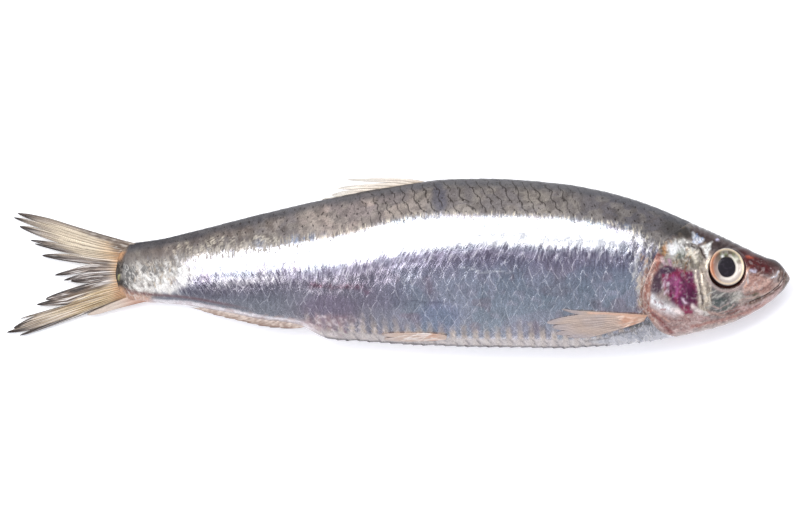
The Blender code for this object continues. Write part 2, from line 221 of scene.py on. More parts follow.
class Canvas:
    """The colours of a surface, laid on area by area.

    silver is how far an area mirrors, pigment how far it lies above the edge of the dark back, scaly how far
    scales show and worn how far fine scratches do.
    """

    def __init__(self, points, distance, height, wobble=0.35):
        self.points = points
        self.exact = (distance, height)
        self.distance = distance + wobble * self.ripple(1)
        self.height = height + wobble * self.ripple(4)
        self.rgb = np.zeros((*distance.shape, 3))
        self.silver = np.zeros(distance.shape)
        self.pigment = np.full(distance.shape, -6.0)
        self.scaly = np.zeros(distance.shape)
        self.worn = np.zeros(distance.shape)

    def ripple(self, seed):
        """Random shifts from about -1 to 1 that make the edges of an area ragged."""
        return (noise(self.points, 2.2, seed) + noise(self.points, 0.9, seed + 1)
                + 0.8 * noise(self.points, 0.35, seed + 2) - 1.4)

    def wash(self, amount, colour, silver=None):
        """Lays a colour on by an amount from 0 to 1: a number for all points, or one for each."""
        amount = np.broadcast_to(np.clip(amount, 0, 1), self.silver.shape)
        self.rgb += amount[..., None] * (linear(colour) - self.rgb)
        if silver is not None:
            self.silver += amount * (silver - self.silver)

    def stroke(self, line, half_width, colour, silver=None, strength=1.0):
        near = line_distance(self.distance, self.height, line)
        self.wash(strength * hump(near, half_width), colour, silver)

    def area(self, outline, soft, colour, silver=None, strength=1.0):
        near = line_distance(self.distance, self.height, outline + outline[:1])
        signed = np.where(is_inside(self.distance, self.height, outline), -near, near)
        self.wash(strength * fall(-soft, soft, signed), colour, silver)

    def spot(self, centre, radii, colour, silver=None, strength=1.0, turn=0.0):
        c, s = math.cos(math.radians(turn)), math.sin(math.radians(turn))
        x, y = self.distance - centre[0], self.height - centre[1]
        far = np.hypot((x * c + y * s) / radii[0], (y * c - x * s) / radii[1])
        self.wash(strength * fall(0.6, 1.3, far), colour, silver)

    def dashes(self, centre, radii, count, seed, length, half_width, turn, colour, silver):
        """Short strokes at random places in an ellipse, most of which run the same way."""
        draw = np.random.default_rng(seed)
        for _ in range(count):
            round_it, out = draw.uniform(0, 2 * math.pi), math.sqrt(draw.random())
            x = centre[0] + radii[0] * out * math.cos(round_it)
            y = centre[1] + radii[1] * out * math.sin(round_it)
            way, reach = math.radians(draw.normal(turn, DASH_SPREAD)), length * draw.uniform(0.25, 0.6)
            dx, dy = reach * math.cos(way), reach * math.sin(way)
            line = [(x - dx, y - dy), (x + dx, y + dy)]
            self.stroke(line, half_width * draw.uniform(0.7, 1.3), colour, silver, draw.uniform(0.4, 0.95))

    def all_dashes(self, table, first_seed):
        for seed, (centre, radii, count, *dash) in enumerate(table, first_seed):
            self.dashes(centre, radii, count, seed, *dash)

    def speckle(self, where, size, cover, seed, colour, silver=None, stretch=(1, 1, 1)):
        """Specks of about this size where a random value is above cover."""
        grains = noise(self.points * stretch, size, seed)
        self.wash(where * rise(cover, cover + SPECK_SOFTNESS, grains), colour, silver)


def new_object(name, data):
    obj = bpy.data.objects.new(name, data)
    bpy.context.scene.collection.objects.link(obj)
    return obj


def mesh_object(name, points, faces, **values):
    """A smooth mesh of points in millimetres, with a value of each kind at every point."""
    mesh = bpy.data.meshes.new(name)
    mesh.from_pydata((np.asarray(points) * MM).tolist(), [], faces)
    for key, value in values.items():
        value = np.asarray(value, float)
        if key.endswith("paint"):
            rgba = np.concatenate([value, np.ones((len(value), 1))], 1)
            mesh.color_attributes.new(key, "FLOAT_COLOR", "POINT").data.foreach_set("color", rgba.ravel())
        elif value.ndim == 2:
            mesh.attributes.new(key, "FLOAT_VECTOR", "POINT").data.foreach_set("vector", value.ravel())
        else:
            mesh.attributes.new(key, "FLOAT", "POINT").data.foreach_set("value", value)
    mesh.shade_smooth()
    return new_object(name, mesh)


def finish_piece(obj, material, node):
    obj.data.materials.append(material)
    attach(obj, BODY)
    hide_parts(node)


def tube_faces(rings, points):
    """Faces of a tube of rings whose ends close on one point each, which come after the rings."""
    start_cap, end_cap = rings * points, rings * points + 1
    faces = []
    for ring in range(rings - 1):
        first = ring * points
        for j in range(points):
            k = (j + 1) % points
            faces.append((first + j, first + points + j, first + points + k, first + k))
    last = (rings - 1) * points
    for j in range(points):
        k = (j + 1) % points
        faces.append((start_cap, j, k))
        faces.append((end_cap, last + k, last + j))
    return faces


def body_points(distance, angle):
    """Points of the bare body."""
    height, depth = flank(distance, angle)
    side = np.sign(np.sin(angle))
    return np.stack([JAW_X - distance, height, mid_plane(distance) + side * depth], -1)


def outward(points):
    """Unit normals of a grid of points whose second direction closes round the body."""
    round_body = np.roll(points, -1, 1) - np.roll(points, 1, 1)
    along = np.gradient(points, axis=0)
    normal = np.cross(along, round_body)
    return normal / np.maximum(np.linalg.norm(normal, axis=-1, keepdims=True), 1e-9)


def press_on_floor(points):
    """Flattens what would reach through the surface that the fish lies on."""
    points = points.copy()
    points[..., 2] = (points[..., 2] + np.hypot(points[..., 2], FLOOR_SOFTNESS)) / 2
    return points


NUMPY_FUNCTIONS = {"FLOOR": np.floor, "CEIL": np.ceil, "ABSOLUTE": np.abs, "POWER": np.power,
                   "FLOORED_MODULO": np.mod, "LESS_THAN": np.less}


def numpy_do(name, *values):
    return NUMPY_FUNCTIONS[name](*values)


def scale_on_top(u, v, do):
    """(distance to its rear margin, its centre, its row) of the scale that lies on top at a place.

    u runs along the body and v across it, both counted in scales. do(name, ...) works out a function: on
    arrays for a mesh, or as nodes for a material.
    """
    candidates = []
    for step in (0, 1):
        row = do("FLOOR", v) + step
        across = v - row
        shift = do("FLOORED_MODULO", row, 2) * 0.5
        bulge = (1 - do("POWER", do("ABSOLUTE", across), SCALE_ROUNDNESS)) * SCALE_BULGE
        centre = do("CEIL", u - shift - bulge) + shift
        candidates.append((centre + bulge - u, centre, row))
    first = do("LESS_THAN", candidates[0][1], candidates[1][1])
    return [b + (a - b) * first for a, b in zip(*candidates)]


def scale_places(distance, points):
    """(u, v) over a grid of the body's points: u along it, v across it from the middle of each flank."""
    table = np.linspace(0, 110, 1101)
    count = np.concatenate([[0], np.cumsum(np.diff(table) / (SCALE_PITCH * scale_size(table[1:])))])
    u = np.interp(distance, table, count)
    steps = np.linalg.norm(np.diff(points, axis=1, append=points[:, :1]), axis=-1)
    arc = np.cumsum(steps, axis=1) - steps
    n = points.shape[1]
    right = arc[:, n // 4:n // 4 + 1] - arc
    left = arc - arc[:, 3 * n // 4:3 * n // 4 + 1]
    across = np.where(np.arange(n) <= n // 2, right, left)
    v = across / (SCALE_ROW * scale_size(distance))
    u = u + 0.6 * (noise(points, 3.0, 42) - 0.5) + 0.3 * (noise(points, 1.2, 43) - 0.5)
    v = v + 0.6 * (noise(points, 4.0, 44) - 0.5) + 0.25 * (noise(points, 1.5, 45) - 0.5)
    return u, v


# The upper edge of the mirror-bright band, and how wide the ragged fringe of the dark back above it is.
PIGMENT_EDGE = smooth_curve([(15, 1.5), (20.5, 3.0), (22.9, 4.6), (26, 5.6), (29, 6.1), (32, 6.6),
                             (36.3, 7.0), (41, 7.2), (49, 7.25), (54.5, 7.3), (58.5, 6.95), (64.3, 5.6),
                             (68.2, 4.7), (72, 4.1), (77.5, 3.5), (82, 3.0), (86.2, 2.6), (89.3, 2.3),
                             (92.2, 1.6), (96, 0.6), (104, 0.5)])
FRINGE = smooth_curve([(15, 1.6), (23, 1.0), (30, 0.8), (60, 0.8), (68, 0.9), (76, 1.1), (86, 1.2),
                       (93, 1.1), (104, 0.9)])
# The lower edge of the band, and how far the hairlines below it lean towards the tail with depth.
BAND_BOTTOM = smooth_curve([(20, 1.6), (37, 2.4), (52, 2.4), (60, 1.4), (68, 0.0), (75, -0.9), (85, -1.8),
                            (93, -2.4), (104, -3.0)])
HAIR_LEAN = smooth_curve([(15, 0.1), (36, 0.2), (44, 0.5), (62, 0.5), (72, 0.1), (80, -0.45), (92, -0.55),
                          (104, 0)])

# A thin line of blood that shows through the skin above the anal fin.
BLOOD_LINE = [(73.2, -3.4), (69.0, -3.7), (65.3, -3.6), (64.6, -4.4)]
# How specks are stretched where they stand upright.
TALL = (1, 0.22, 0.4)

# Dashes of gold and of dark pigment along the edge of the back, towards the tail, in the same form as those
# of the head.
EDGE_DASHES = [
    ((79.5, 3.4), (4.0, 0.8), 20, 0.9, 0.08, 92, (212, 202, 184), 0.0),
    ((86.0, 2.8), (4.0, 0.9), 30, 1.0, 0.08, 88, (206, 195, 176), 0.0),
    ((91.5, 1.9), (3.0, 1.2), 28, 1.0, 0.08, 82, (196, 184, 164), 0.0),
    ((80.0, 3.3), (5.0, 0.9), 24, 0.9, 0.08, 92, (78, 70, 64), 0.0),
    ((88.0, 2.4), (5.0, 1.2), 34, 0.9, 0.08, 84, (78, 70, 64), 0.0),
]


def blue_gleam(s):
    """How blue the edge of the back gleams: in three places."""
    return hump(s - 80.8, 0.9) + hump(s - 74.5, 3.2) + hump(s - 25.3, 1.4)


def paint_back(canvas):
    """The dark skin of the back."""
    s, y = canvas.exact
    deep = back(s) - y
    canvas.wash(1, (132, 124, 117))
    canvas.wash(0.9 * fall(25, 40, s), (88, 85, 89))
    canvas.wash(0.75 * hump(s - 67, 8), (182, 163, 153))
    canvas.wash(0.8 * rise(76, 90, s), (120, 106, 98))
    canvas.wash(0.8 * rise(95, 99, s), (88, 79, 71))
    canvas.speckle(0.55, 2.4, 0.5, 80, (102, 97, 100))
    canvas.speckle(0.35, 1.1, 0.5, 81, (150, 142, 130))
    canvas.speckle(0.5, 0.5, 0.55, 82, (88, 80, 76))
    canvas.spot((53.6, 9.8), (1.1, 2.6), (78, 78, 92), strength=0.7)
    canvas.spot((17.5, 5.6), (2.6, 2.0), (70, 66, 62), strength=0.8)
    above = (y - PIGMENT_EDGE(s)) / FRINGE(s)
    canvas.wash(0.35 * fall(0.4, 2.4, above) * rise(52, 64, s), (98, 88, 82))
    canvas.speckle(0.6 * rise(74, 80, s), 0.5, 0.52, 84, (78, 66, 60), None, (1, 0.6, 0.6))
    canvas.all_dashes(EDGE_DASHES, 130)
    gleam = 0.45 * blue_gleam(s) * fall(-0.1, 0.9, above)
    canvas.speckle(gleam, 0.35, 0.47, 95, (98, 126, 164), None, TALL)
    canvas.wash(0.8 * fall(0.6, 1.9, deep + 0.3 * canvas.ripple(83)), (66, 66, 71))
    canvas.wash(0.8 * fall(0.12, 0.5, deep), (50, 48, 52))


def fade_into_tail(canvas):
    """The trunk's rim takes on the tail's colours, except at the dark end of the middle."""
    s, y = canvas.exact
    centre, half = centre_and_half_height(s)
    end = TAIL_ROOT + TAIL_ROOT_BULGE * (1 - ((y - centre) / half) ** 2)
    fading = rise(-1.1, -0.2, s - end + 0.3 * canvas.ripple(19))
    canvas.wash(0.6 * fading, (72, 62, 52), 0.0)
    canvas.wash(0.9 * fading * rise(0.0, 0.9, y) * fall(1.6, 2.2, y), (190, 144, 104), 0.0)
    canvas.wash(0.8 * fading * rise(1.4, 2.0, y), (138, 122, 106), 0.0)
    canvas.wash(0.9 * fading * rise(-3.2, -4.2, y), (204, 160, 126), 0.0)


def paint_flank(canvas):
    """The mirror-bright band and the blue-grey flank below it."""
    s, y = canvas.exact
    canvas.pigment = np.clip((y - PIGMENT_EDGE(s)) / FRINGE(s), -4, 8)
    canvas.wash(1, (184, 187, 198), 0.95)
    canvas.speckle(0.4, 5, 0.5, 7, (178, 168, 182))
    canvas.speckle(0.4, 4, 0.55, 8, (160, 178, 186))
    canvas.speckle(0.5, 0.9, 0.62, 13, (206, 203, 214))
    canvas.speckle(0.3 * rise(2, -1, y), 1.8, 0.66, 14, (166, 134, 142))
    aft = rise(56, 66, s) * rise(1.2, 2.4, BAND_BOTTOM(s) - y)
    canvas.wash(0.9 * aft, (169, 162, 170))
    canvas.wash(0.7 * aft * rise(72, 80, s), (162, 166, 172))
    # A mauve painted shade runs below the bright band.
    near_band = hump(y - BAND_BOTTOM(s) + 1.9, 1.5) * fall(88, 94, s)
    canvas.wash(0.6 * near_band, (146, 136, 158))
    canvas.wash(0.5 * near_band * rise(58, 66, s), (142, 136, 140))
    # The band's lower part is painted white, as more of its reflection.
    above_bottom = y - BAND_BOTTOM(s) + 0.5 * canvas.ripple(47)
    band_low = rise(-0.6, 0.5, above_bottom) * fall(1.9, 3.0, above_bottom)
    canvas.wash(0.75 * band_low * rise(24, 28, s) * fall(66, 80, s), (255, 255, 255), 0.4)
    # A darker painted shade runs just under the band.
    under = hump(above_bottom + 1.1, 0.8) * fall(72, 82, s) * rise(24, 28, s)
    canvas.wash(0.6 * under, (112, 105, 124), 0.3)
    # Further towards the tail a pale painted reflection runs at that depth.
    pale_painted_reflection = hump(above_bottom + 1.1, 0.7) * rise(76, 80, s) * fall(86, 90, s)
    canvas.wash(0.7 * pale_painted_reflection, (206, 200, 202), 0.5)
    # A blood line, bruises and a crease show through the skin.
    broken = 0.5 + 0.5 * rise(0.4, 0.6, noise(canvas.points, 0.8, 18))
    canvas.wash(0.75 * broken * hump(line_distance(canvas.distance, canvas.height, BLOOD_LINE), 0.42),
                (130, 84, 100), 0.8)
    canvas.spot((70.5, -6.9), (4.6, 2.2), (170, 146, 170), strength=0.4)
    canvas.spot((62.5, -4.6), (4.4, 2.8), (150, 138, 160), strength=0.3)
    canvas.spot((53.5, -8.2), (3.4, 2.6), (156, 168, 204), strength=0.35)
    canvas.spot((34.0, -5.2), (4.6, 3.0), (150, 168, 176), strength=0.4)
    canvas.stroke([(58.2, -5.7), (55.5, -6.0), (52.8, -6.0)], 0.15, (100, 98, 120), strength=0.45)


def paint_keel(canvas):
    """Low on the flank the mirror thins out to pale skin, in tongues between the scales of the keel."""
    s, y = canvas.exact
    up = y - belly(s)
    where = rise(20, 26, s) * fall(71, 76, s)
    tongue = rise(0.3, 0.7, 0.5 + 0.5 * np.cos(2 * math.pi * (s - 0.12 * up) / SCALE_PITCH))
    reach = 1 + 0.35 * canvas.ripple(17)
    canvas.wash(0.55 * tongue * fall(2.4, 4.2, up * reach) * where, (196, 180, 168), 0.3)
    canvas.wash(0.85 * tongue * fall(1.7, 2.7, up * reach) * where, (206, 190, 177), 0.2)
    canvas.wash(0.85 * fall(1.0, 1.6, up) * where, (207, 196, 190), 0.2)
    notch = np.abs(np.mod(s / SCALE_PITCH - 0.45 * up, 1) - 0.5)
    canvas.wash(0.6 * fall(0.03, 0.12, notch) * fall(0.9, 1.5, up) * where, (118, 112, 118), 0.4)
    # The lowest rim of the belly is painted dark as shade.
    canvas.wash(0.9 * fall(0.12, 0.42, up) * where, (88, 80, 86), 0.2)
    canvas.spot((71.5, -9.2), (5.0, 1.3), (176, 146, 148), 0.4, 0.5, -8)
    canvas.dashes((70.0, -9.6), (5.0, 1.6), 34, 113, 1.1, 0.1, 36, (232, 216, 216), 0.2)
    canvas.dashes((70.0, -9.4), (5.0, 1.6), 24, 114, 1.0, 0.1, 40, (142, 108, 122), 0.3)
    canvas.worn += 0.6 * fall(23.4, 25.5, s) + 0.35 * where * fall(1.6, 2.6, up)


def paint_fringe(canvas):
    """Streaks of gold, white and dark pigment, and of painted blue gleam, hang from the edge of the back."""
    s = canvas.exact[0]
    fringe = rise(-0.9, -0.1, canvas.pigment) * fall(1.2, 1.9, canvas.pigment)
    fringe *= rise(60, 68, s) * fall(93, 96, s) + 1 - rise(24, 29, s)
    hanging = rise(72, 80, s) * fall(93, 96, s) * rise(-2.2, -0.4, canvas.pigment)
    canvas.speckle(0.8 * hanging, 0.5, 0.62 - 0.12 * hanging, 94, (214, 208, 200), 0.0, (1, 0.3, 0.4))
    canvas.wash(0.85 * fringe * rise(-0.9, 0.2, canvas.pigment), (140, 128, 114), 0.15)
    canvas.speckle(0.7 * fringe, 0.35, 0.48, 90, (186, 168, 144), 0.2, TALL)
    canvas.speckle(0.8 * fringe, 0.3, 0.52, 91, (236, 232, 226), 0.35, TALL)
    canvas.speckle(0.85 * fringe * blue_gleam(s), 0.35, 0.45, 92, (88, 124, 168), 0.0, TALL)
    canvas.speckle(0.85 * fringe, 0.3, 0.54, 93, (62, 54, 50), 0.2, TALL)
    canvas.all_dashes(EDGE_DASHES, 130)


def paint_rear(canvas):
    """Mottled, worn skin in front of the tail."""
    s, y = canvas.exact
    rear = rise(-2.4, 2.2, s - 93.2 + 0.85 * (y - 0.4) + 1.3 * canvas.ripple(51))
    rear *= fall(-0.2, 0.6, canvas.pigment)
    canvas.wash(0.95 * rear, (86, 80, 74), 0.0)
    canvas.worn += 0.5 * rear * fall(101.3, 102.3, s)
    canvas.wash(0.7 * rear * rise(-1.8, -3.2, y) * fall(99, 101, s), (196, 188, 180), 0.0)
    canvas.area([(90.5, -1.2), (94.2, -1.4), (97.0, -2.6), (97.4, -4.2), (95.0, -4.8), (91.5, -3.2)], 0.7,
                (244, 240, 235), 0.1, 0.9)
    canvas.all_dashes(REAR_DASHES, 100)
    canvas.spot((102.4, -1.7), (2.1, 2.7), (48, 44, 40), 0.0, 0.95)
    canvas.dashes((101.2, -1.4), (1.6, 2.4), 12, 110, 1.2, 0.11, 75, (150, 142, 132), 0.0)
    canvas.stroke([(102.7, -1.8), (102.8, -2.6)], 0.15, (224, 220, 150), 0.3, 0.9)
    canvas.stroke([(99.6, 3.1), (101.5, 2.0), (102.6, 0.4)], 0.5, (98, 86, 76), 0.15, 0.8)


def paint_behind_vent(canvas):
    """Behind the vent the belly has a pale rim, under a thin red-brown line."""
    s, y = canvas.exact
    up = y - belly(s)
    behind = rise(71, 75, s)
    canvas.wash(0.75 * behind * rise(80, 88, s) * hump(up - 1.25, 0.26), (112, 76, 80), 0.2)
    rim = behind * fall(0.4, 0.85, up + 0.15 * canvas.ripple(48)) * fall(99.0, 100.5, s)
    canvas.wash(0.95 * rim, (236, 229, 229), 0.1)
    canvas.speckle(0.6 * rim, 0.5, 0.5, 49, (200, 184, 186), 0.1)
    canvas.speckle(0.5 * behind * fall(0.6, 1.2, up) * fall(84, 88, s), 0.6, 0.5, 17, (196, 168, 158), 0.2)
    canvas.stroke([(98.4, -5.6), (100.4, -5.3), (102.2, -4.7)], 0.7, (206, 164, 142), 0.0, 0.85)
    canvas.stroke([(97.6, -4.9), (99.8, -4.5), (101.6, -3.9)], 0.16, (120, 84, 80), 0.1, 0.6)


def paint_shoulder(canvas):
    """Bare skin close behind the gill cover, and the plates of the chest."""
    for stroke in SHOULDER_STROKES:
        canvas.stroke(*stroke, 0.3, 0.85)
    canvas.all_dashes(SHOULDER_DASHES, 50)
    canvas.area([(18.8, -10.2), (19.8, -9.2), (22.4, -8.7), (24.8, -9.6), (24.4, -10.2), (21.0, -10.1)],
                0.3, (104, 106, 102), 0.2, 0.7)
    canvas.area([(19.0, -10.3), (22.0, -9.4), (26.5, -10.8), (31, -11.9), (26, -12.8), (18, -11.8)], 0.25,
                (188, 186, 190), 0.4)
    canvas.dashes((24.5, -10.8), (4.5, 0.8), 14, 112, 2.4, 0.09, 16, (150, 152, 160), 0.2)
    canvas.stroke([(21.8, -9.3), (25.0, -10.5), (28.0, -11.5), (31.5, -12.0)], 0.14, (112, 104, 102), 0.2,
                  0.7)
    canvas.stroke([(50.3, -0.75), (46.5, -1.3), (42.5, -1.4)], 0.12, (250, 250, 250), 1.0, 0.9)


def paint_trunk(canvas):
    s, y = canvas.exact
    paint_flank(canvas)
    paint_keel(canvas)
    paint_fringe(canvas)
    paint_rear(canvas)
    paint_behind_vent(canvas)
    paint_shoulder(canvas)
    canvas.scaly = (1 - 0.8 * rise(90, 98, s)) * (1 - 0.7 * fall(0.8, 2.0, y - belly(s)))


# Strokes of colour on the bare skin behind the gill cover: line, half-width, colour.
SHOULDER_STROKES = [
    ([(21.6, -0.6), (22.6, -2.4), (23.1, -4.4), (22.9, -6.8)], 0.5, (186, 138, 114)),
    ([(23.3, -3.0), (23.5, -4.0)], 0.2, (226, 212, 192)),
    ([(23.9, -1.0), (24.1, -2.2)], 0.2, (222, 216, 204)),
    ([(23.4, 1.2), (24.1, -0.4)], 0.3, (226, 224, 224)),
    ([(22.2, 0.4), (22.8, -1.0)], 0.3, (196, 190, 186)),
    ([(22.5, -6.4), (22.3, -7.6)], 0.4, (190, 136, 112)),
    ([(20.9, 2.4), (21.6, 0.2)], 0.28, (104, 88, 70)),
    ([(21.3, 3.6), (22.0, 2.0)], 0.2, (112, 108, 104)),
    ([(22.6, 4.6), (23.2, 2.8)], 0.16, (120, 124, 132)),
    ([(23.8, 4.9), (24.4, 3.4)], 0.14, (120, 124, 132)),
]

# Dashes of colour on the worn skin in front of the tail, in the same form as those of the head.
REAR_DASHES = [
    ((94.2, -0.6), (2.4, 1.9), 34, 1.3, 0.13, 66, (128, 120, 112), 0.0),
    ((94.6, -1.4), (2.6, 2.4), 34, 1.4, 0.14, 62, (250, 248, 243), 0.0),
    ((97.6, -1.8), (5.0, 3.2), 70, 1.3, 0.13, 70, (222, 216, 206), 0.0),
    ((96.6, -3.4), (4.0, 1.5), 50, 1.3, 0.14, 50, (244, 240, 232), 0.0),
    ((98.0, -1.0), (5.2, 2.4), 60, 1.3, 0.14, 68, (64, 59, 54), 0.0),
    ((97.6, -1.2), (4.4, 2.4), 30, 0.9, 0.11, 80, (172, 154, 130), 0.1),
    ((97.2, 0.6), (5.2, 1.4), 60, 1.1, 0.13, 70, (96, 86, 77), 0.0),
    ((97.2, 0.0), (5.0, 1.4), 30, 0.9, 0.1, 70, (168, 156, 140), 0.1),
]

# Dashes of colour behind the gill cover, in the same form.
SHOULDER_DASHES = [
    ((23.6, 2.0), (1.8, 3.4), 18, 1.3, 0.14, 88, (250, 250, 250), 0.7),
    ((23.2, 2.6), (1.6, 3.2), 16, 1.1, 0.13, 80, (96, 92, 92), 0.4),
    ((22.6, 0.5), (0.8, 2.4), 12, 0.7, 0.13, 95, (190, 150, 112), 0.2),
    ((22.9, -3.8), (0.7, 3.0), 22, 0.5, 0.13, 80, (232, 214, 190), 0.2),
    ((23.6, -3.0), (1.2, 3.4), 12, 0.8, 0.1, 80, (214, 212, 208), 0.5),
    ((22.2, 3.8), (1.0, 1.4), 12, 0.9, 0.14, 70, (70, 60, 50), 0.2),
    ((24.2, -9.4), (2.2, 0.5), 10, 0.9, 0.14, 20, (92, 92, 88), 0.2),
]

HEAD_STRENGTH = 0.92
# The colours of the head, from the bottom layer up. Areas: outline, softness of its edge, colour, silver.
HEAD_AREAS = [
    ([(22.4, -5.6), (20.6, -6.6), (17.4, -7.6), (14.6, -7.8), (13.2, -8.6), (15.4, -10.4), (18.2, -11.2),
      (21.0, -9.2)], 0.5, (188, 156, 148), 0.25),
    ([(20.4, 2.9), (17.0, 4.2), (14.6, 2.8), (13.2, 0.6), (14.0, -1.2), (17.0, -0.7), (20.0, 0.0)], 0.5,
     (134, 126, 110), 0.05),
    ([(18.8, 3.2), (16.4, 3.9), (14.6, 2.8), (14.4, 1.5), (16.4, 1.3), (18.4, 1.2)],
     0.4, (216, 212, 204), 0.3),
    ([(19.6, -0.5), (17.5, -0.9), (15.2, -1.3), (14.7, -3.7), (14.4, -6.1), (15.0, -7.6), (16.2, -7.8),
      (17.5, -6.6), (19.0, -5.2), (19.9, -3.4), (20.2, -1.8)], 0.3, (138, 42, 76), 0.15),
    ([(20.5, -1.1), (20.0, -2.1), (19.9, -4.4), (21.1, -4.7), (21.8, -4.1), (21.9, -2.6), (21.3, -1.4)],
     0.35,
     (86, 62, 74), 0.1),
    ([(20.5, -0.8), (18.6, -0.5), (17.6, -1.2), (19.0, -1.8), (20.4, -1.8)], 0.25, (88, 62, 80), 0.3),
    ([(13.4, -1.6), (12.9, -8.2), (9.6, -8.0), (7.6, -5.4), (9.6, -4.2), (12.4, -2.8)],
     0.6, (122, 117, 113), 0.2),
    ([(14.0, -0.4), (12.4, 0.6), (12.4, -6.6), (13.2, -7.6), (14.2, -7.0)], 0.3, (208, 192, 172), 0.35),
]
# Spots: centre, radii, colour, silver, turn in degrees.
HEAD_SPOTS = [
    ((15.4, -5.2), (1.0, 1.7), (78, 24, 60), 0.2, 0),
    ((16.6, -5.6), (0.7, 1.2), (110, 38, 84), 0.2, 20),
    ((15.4, -2.2), (0.6, 0.8), (118, 52, 90), 0.3, 0),
    ((17.9, -3.2), (1.2, 1.1), (164, 80, 128), 0.2, 0),
    ((19.4, 2.2), (0.5, 0.6), (196, 132, 86), 0.2, 0),
    ((17.0, 1.4), (0.9, 0.9), (150, 158, 144), 0.1, 0),
    ((15.2, 2.7), (0.7, 0.35), (60, 44, 36), 0.1, 10),
    ((16.2, 0.0), (1.2, 0.7), (150, 140, 124), 0.1, 0),
    ((11.0, -5.9), (1.1, 0.7), (96, 104, 100), 0.4, 0),
    ((9.6, -6.6), (1.2, 0.5), (124, 124, 116), 0.4, 10),
    ((8.2, -5.2), (1.2, 0.8), (206, 198, 184), 0.4, 10),
    ((5.0, -3.2), (2.6, 1.5), (202, 156, 140), 0.3, 20),
    ((5.2, 0.0), (3.2, 1.6), (88, 26, 28), 0.0, 25),
    ((6.0, -0.6), (1.1, 0.7), (98, 34, 36), 0.0, 0),
    ((0.9, -1.7), (1.0, 1.3), (124, 106, 92), 0.1, 0),
    ((6.4, 0.8), (0.6, 0.25), (176, 84, 62), 0.0, 25),
    ((2.9, -0.2), (1.7, 0.9), (110, 86, 84), 0.2, 30),
    ((4.7, -5.3), (1.9, 0.5), (112, 102, 82), 0.1, 32),
    ((0.2, -2.6), (0.9, 1.4), (104, 92, 80), 0.1, 0),
    # A painted shade above the eye, towards the tail.
    ((11.9, 2.6), (1.5, 0.8), (78, 68, 68), 0.2, 30),
]
# Dashes: centre and radii of where they lie, number, length, half-width, turn in degrees, colour, silver.
HEAD_DASHES = [
    ((16.8, 1.4), (2.7, 2.0), 26, 0.9, 0.12, 100, (68, 57, 46), 0.2),
    # Painted glints, white and cream, on the upper gill cover:
    ((17.4, 2.5), (2.1, 1.1), 24, 0.8, 0.11, 70, (255, 254, 250), 0.1),
    ((15.6, 1.2), (1.6, 1.4), 18, 0.7, 0.1, 120, (236, 226, 206), 0.1),
    ((16.6, 0.8), (2.4, 1.6), 10, 0.6, 0.1, 120, (196, 158, 116), 0.3),
    ((19.6, 2.7), (1.1, 1.5), 16, 1.1, 0.13, 60, (64, 48, 36), 0.2),
    ((19.4, 2.5), (1.0, 1.3), 9, 0.9, 0.1, 75, (204, 152, 92), 0.3),
    ((17.4, -3.2), (2.2, 2.2), 10, 1.0, 0.26, 100, (176, 92, 140), 0.2),
    ((16.8, -4.2), (2.4, 2.8), 20, 1.4, 0.24, 80, (100, 34, 72), 0.2),
    # Painted glints, white-pink, on the gill cover:
    ((19.5, -3.6), (0.8, 1.6), 12, 0.6, 0.12, 120, (236, 212, 222), 0.2),
    ((13.3, -3.8), (1.0, 3.6), 16, 1.7, 0.09, 84, (246, 232, 208), 0.3),
    ((13.3, -3.4), (1.0, 3.8), 14, 1.4, 0.08, 84, (98, 80, 68), 0.2),
    ((12.9, -0.6), (0.9, 2.0), 8, 1.0, 0.1, 80, (250, 238, 214), 0.4),
    ((10.8, -5.6), (2.6, 1.6), 18, 1.1, 0.09, 150, (204, 200, 188), 0.2),
    ((10.6, -6.0), (2.6, 1.6), 16, 1.0, 0.09, 140, (100, 104, 98), 0.3),
    ((12.4, -7.4), (1.4, 0.6), 7, 1.6, 0.1, 176, (244, 238, 226), 0.4),
    ((4.8, -2.7), (2.6, 1.6), 16, 1.3, 0.09, 146, (236, 200, 184), 0.4),
    ((4.8, -3.0), (2.8, 1.8), 12, 1.2, 0.08, 146, (146, 100, 88), 0.2),
    ((7.0, -7.1), (5.0, 0.9), 12, 2.4, 0.1, 158, (226, 196, 184), 0.3),
    ((7.5, -7.4), (5.5, 0.9), 14, 2.4, 0.1, 158, (138, 88, 80), 0.2),
    ((17.5, -9.2), (3.4, 1.3), 14, 1.8, 0.1, 20, (226, 200, 190), 0.3),
    ((17.5, -9.0), (3.6, 1.5), 12, 1.6, 0.11, 20, (148, 104, 96), 0.2),
    ((5.8, 0.4), (2.4, 1.2), 8, 0.8, 0.1, 30, (128, 62, 56), 0.0),
]
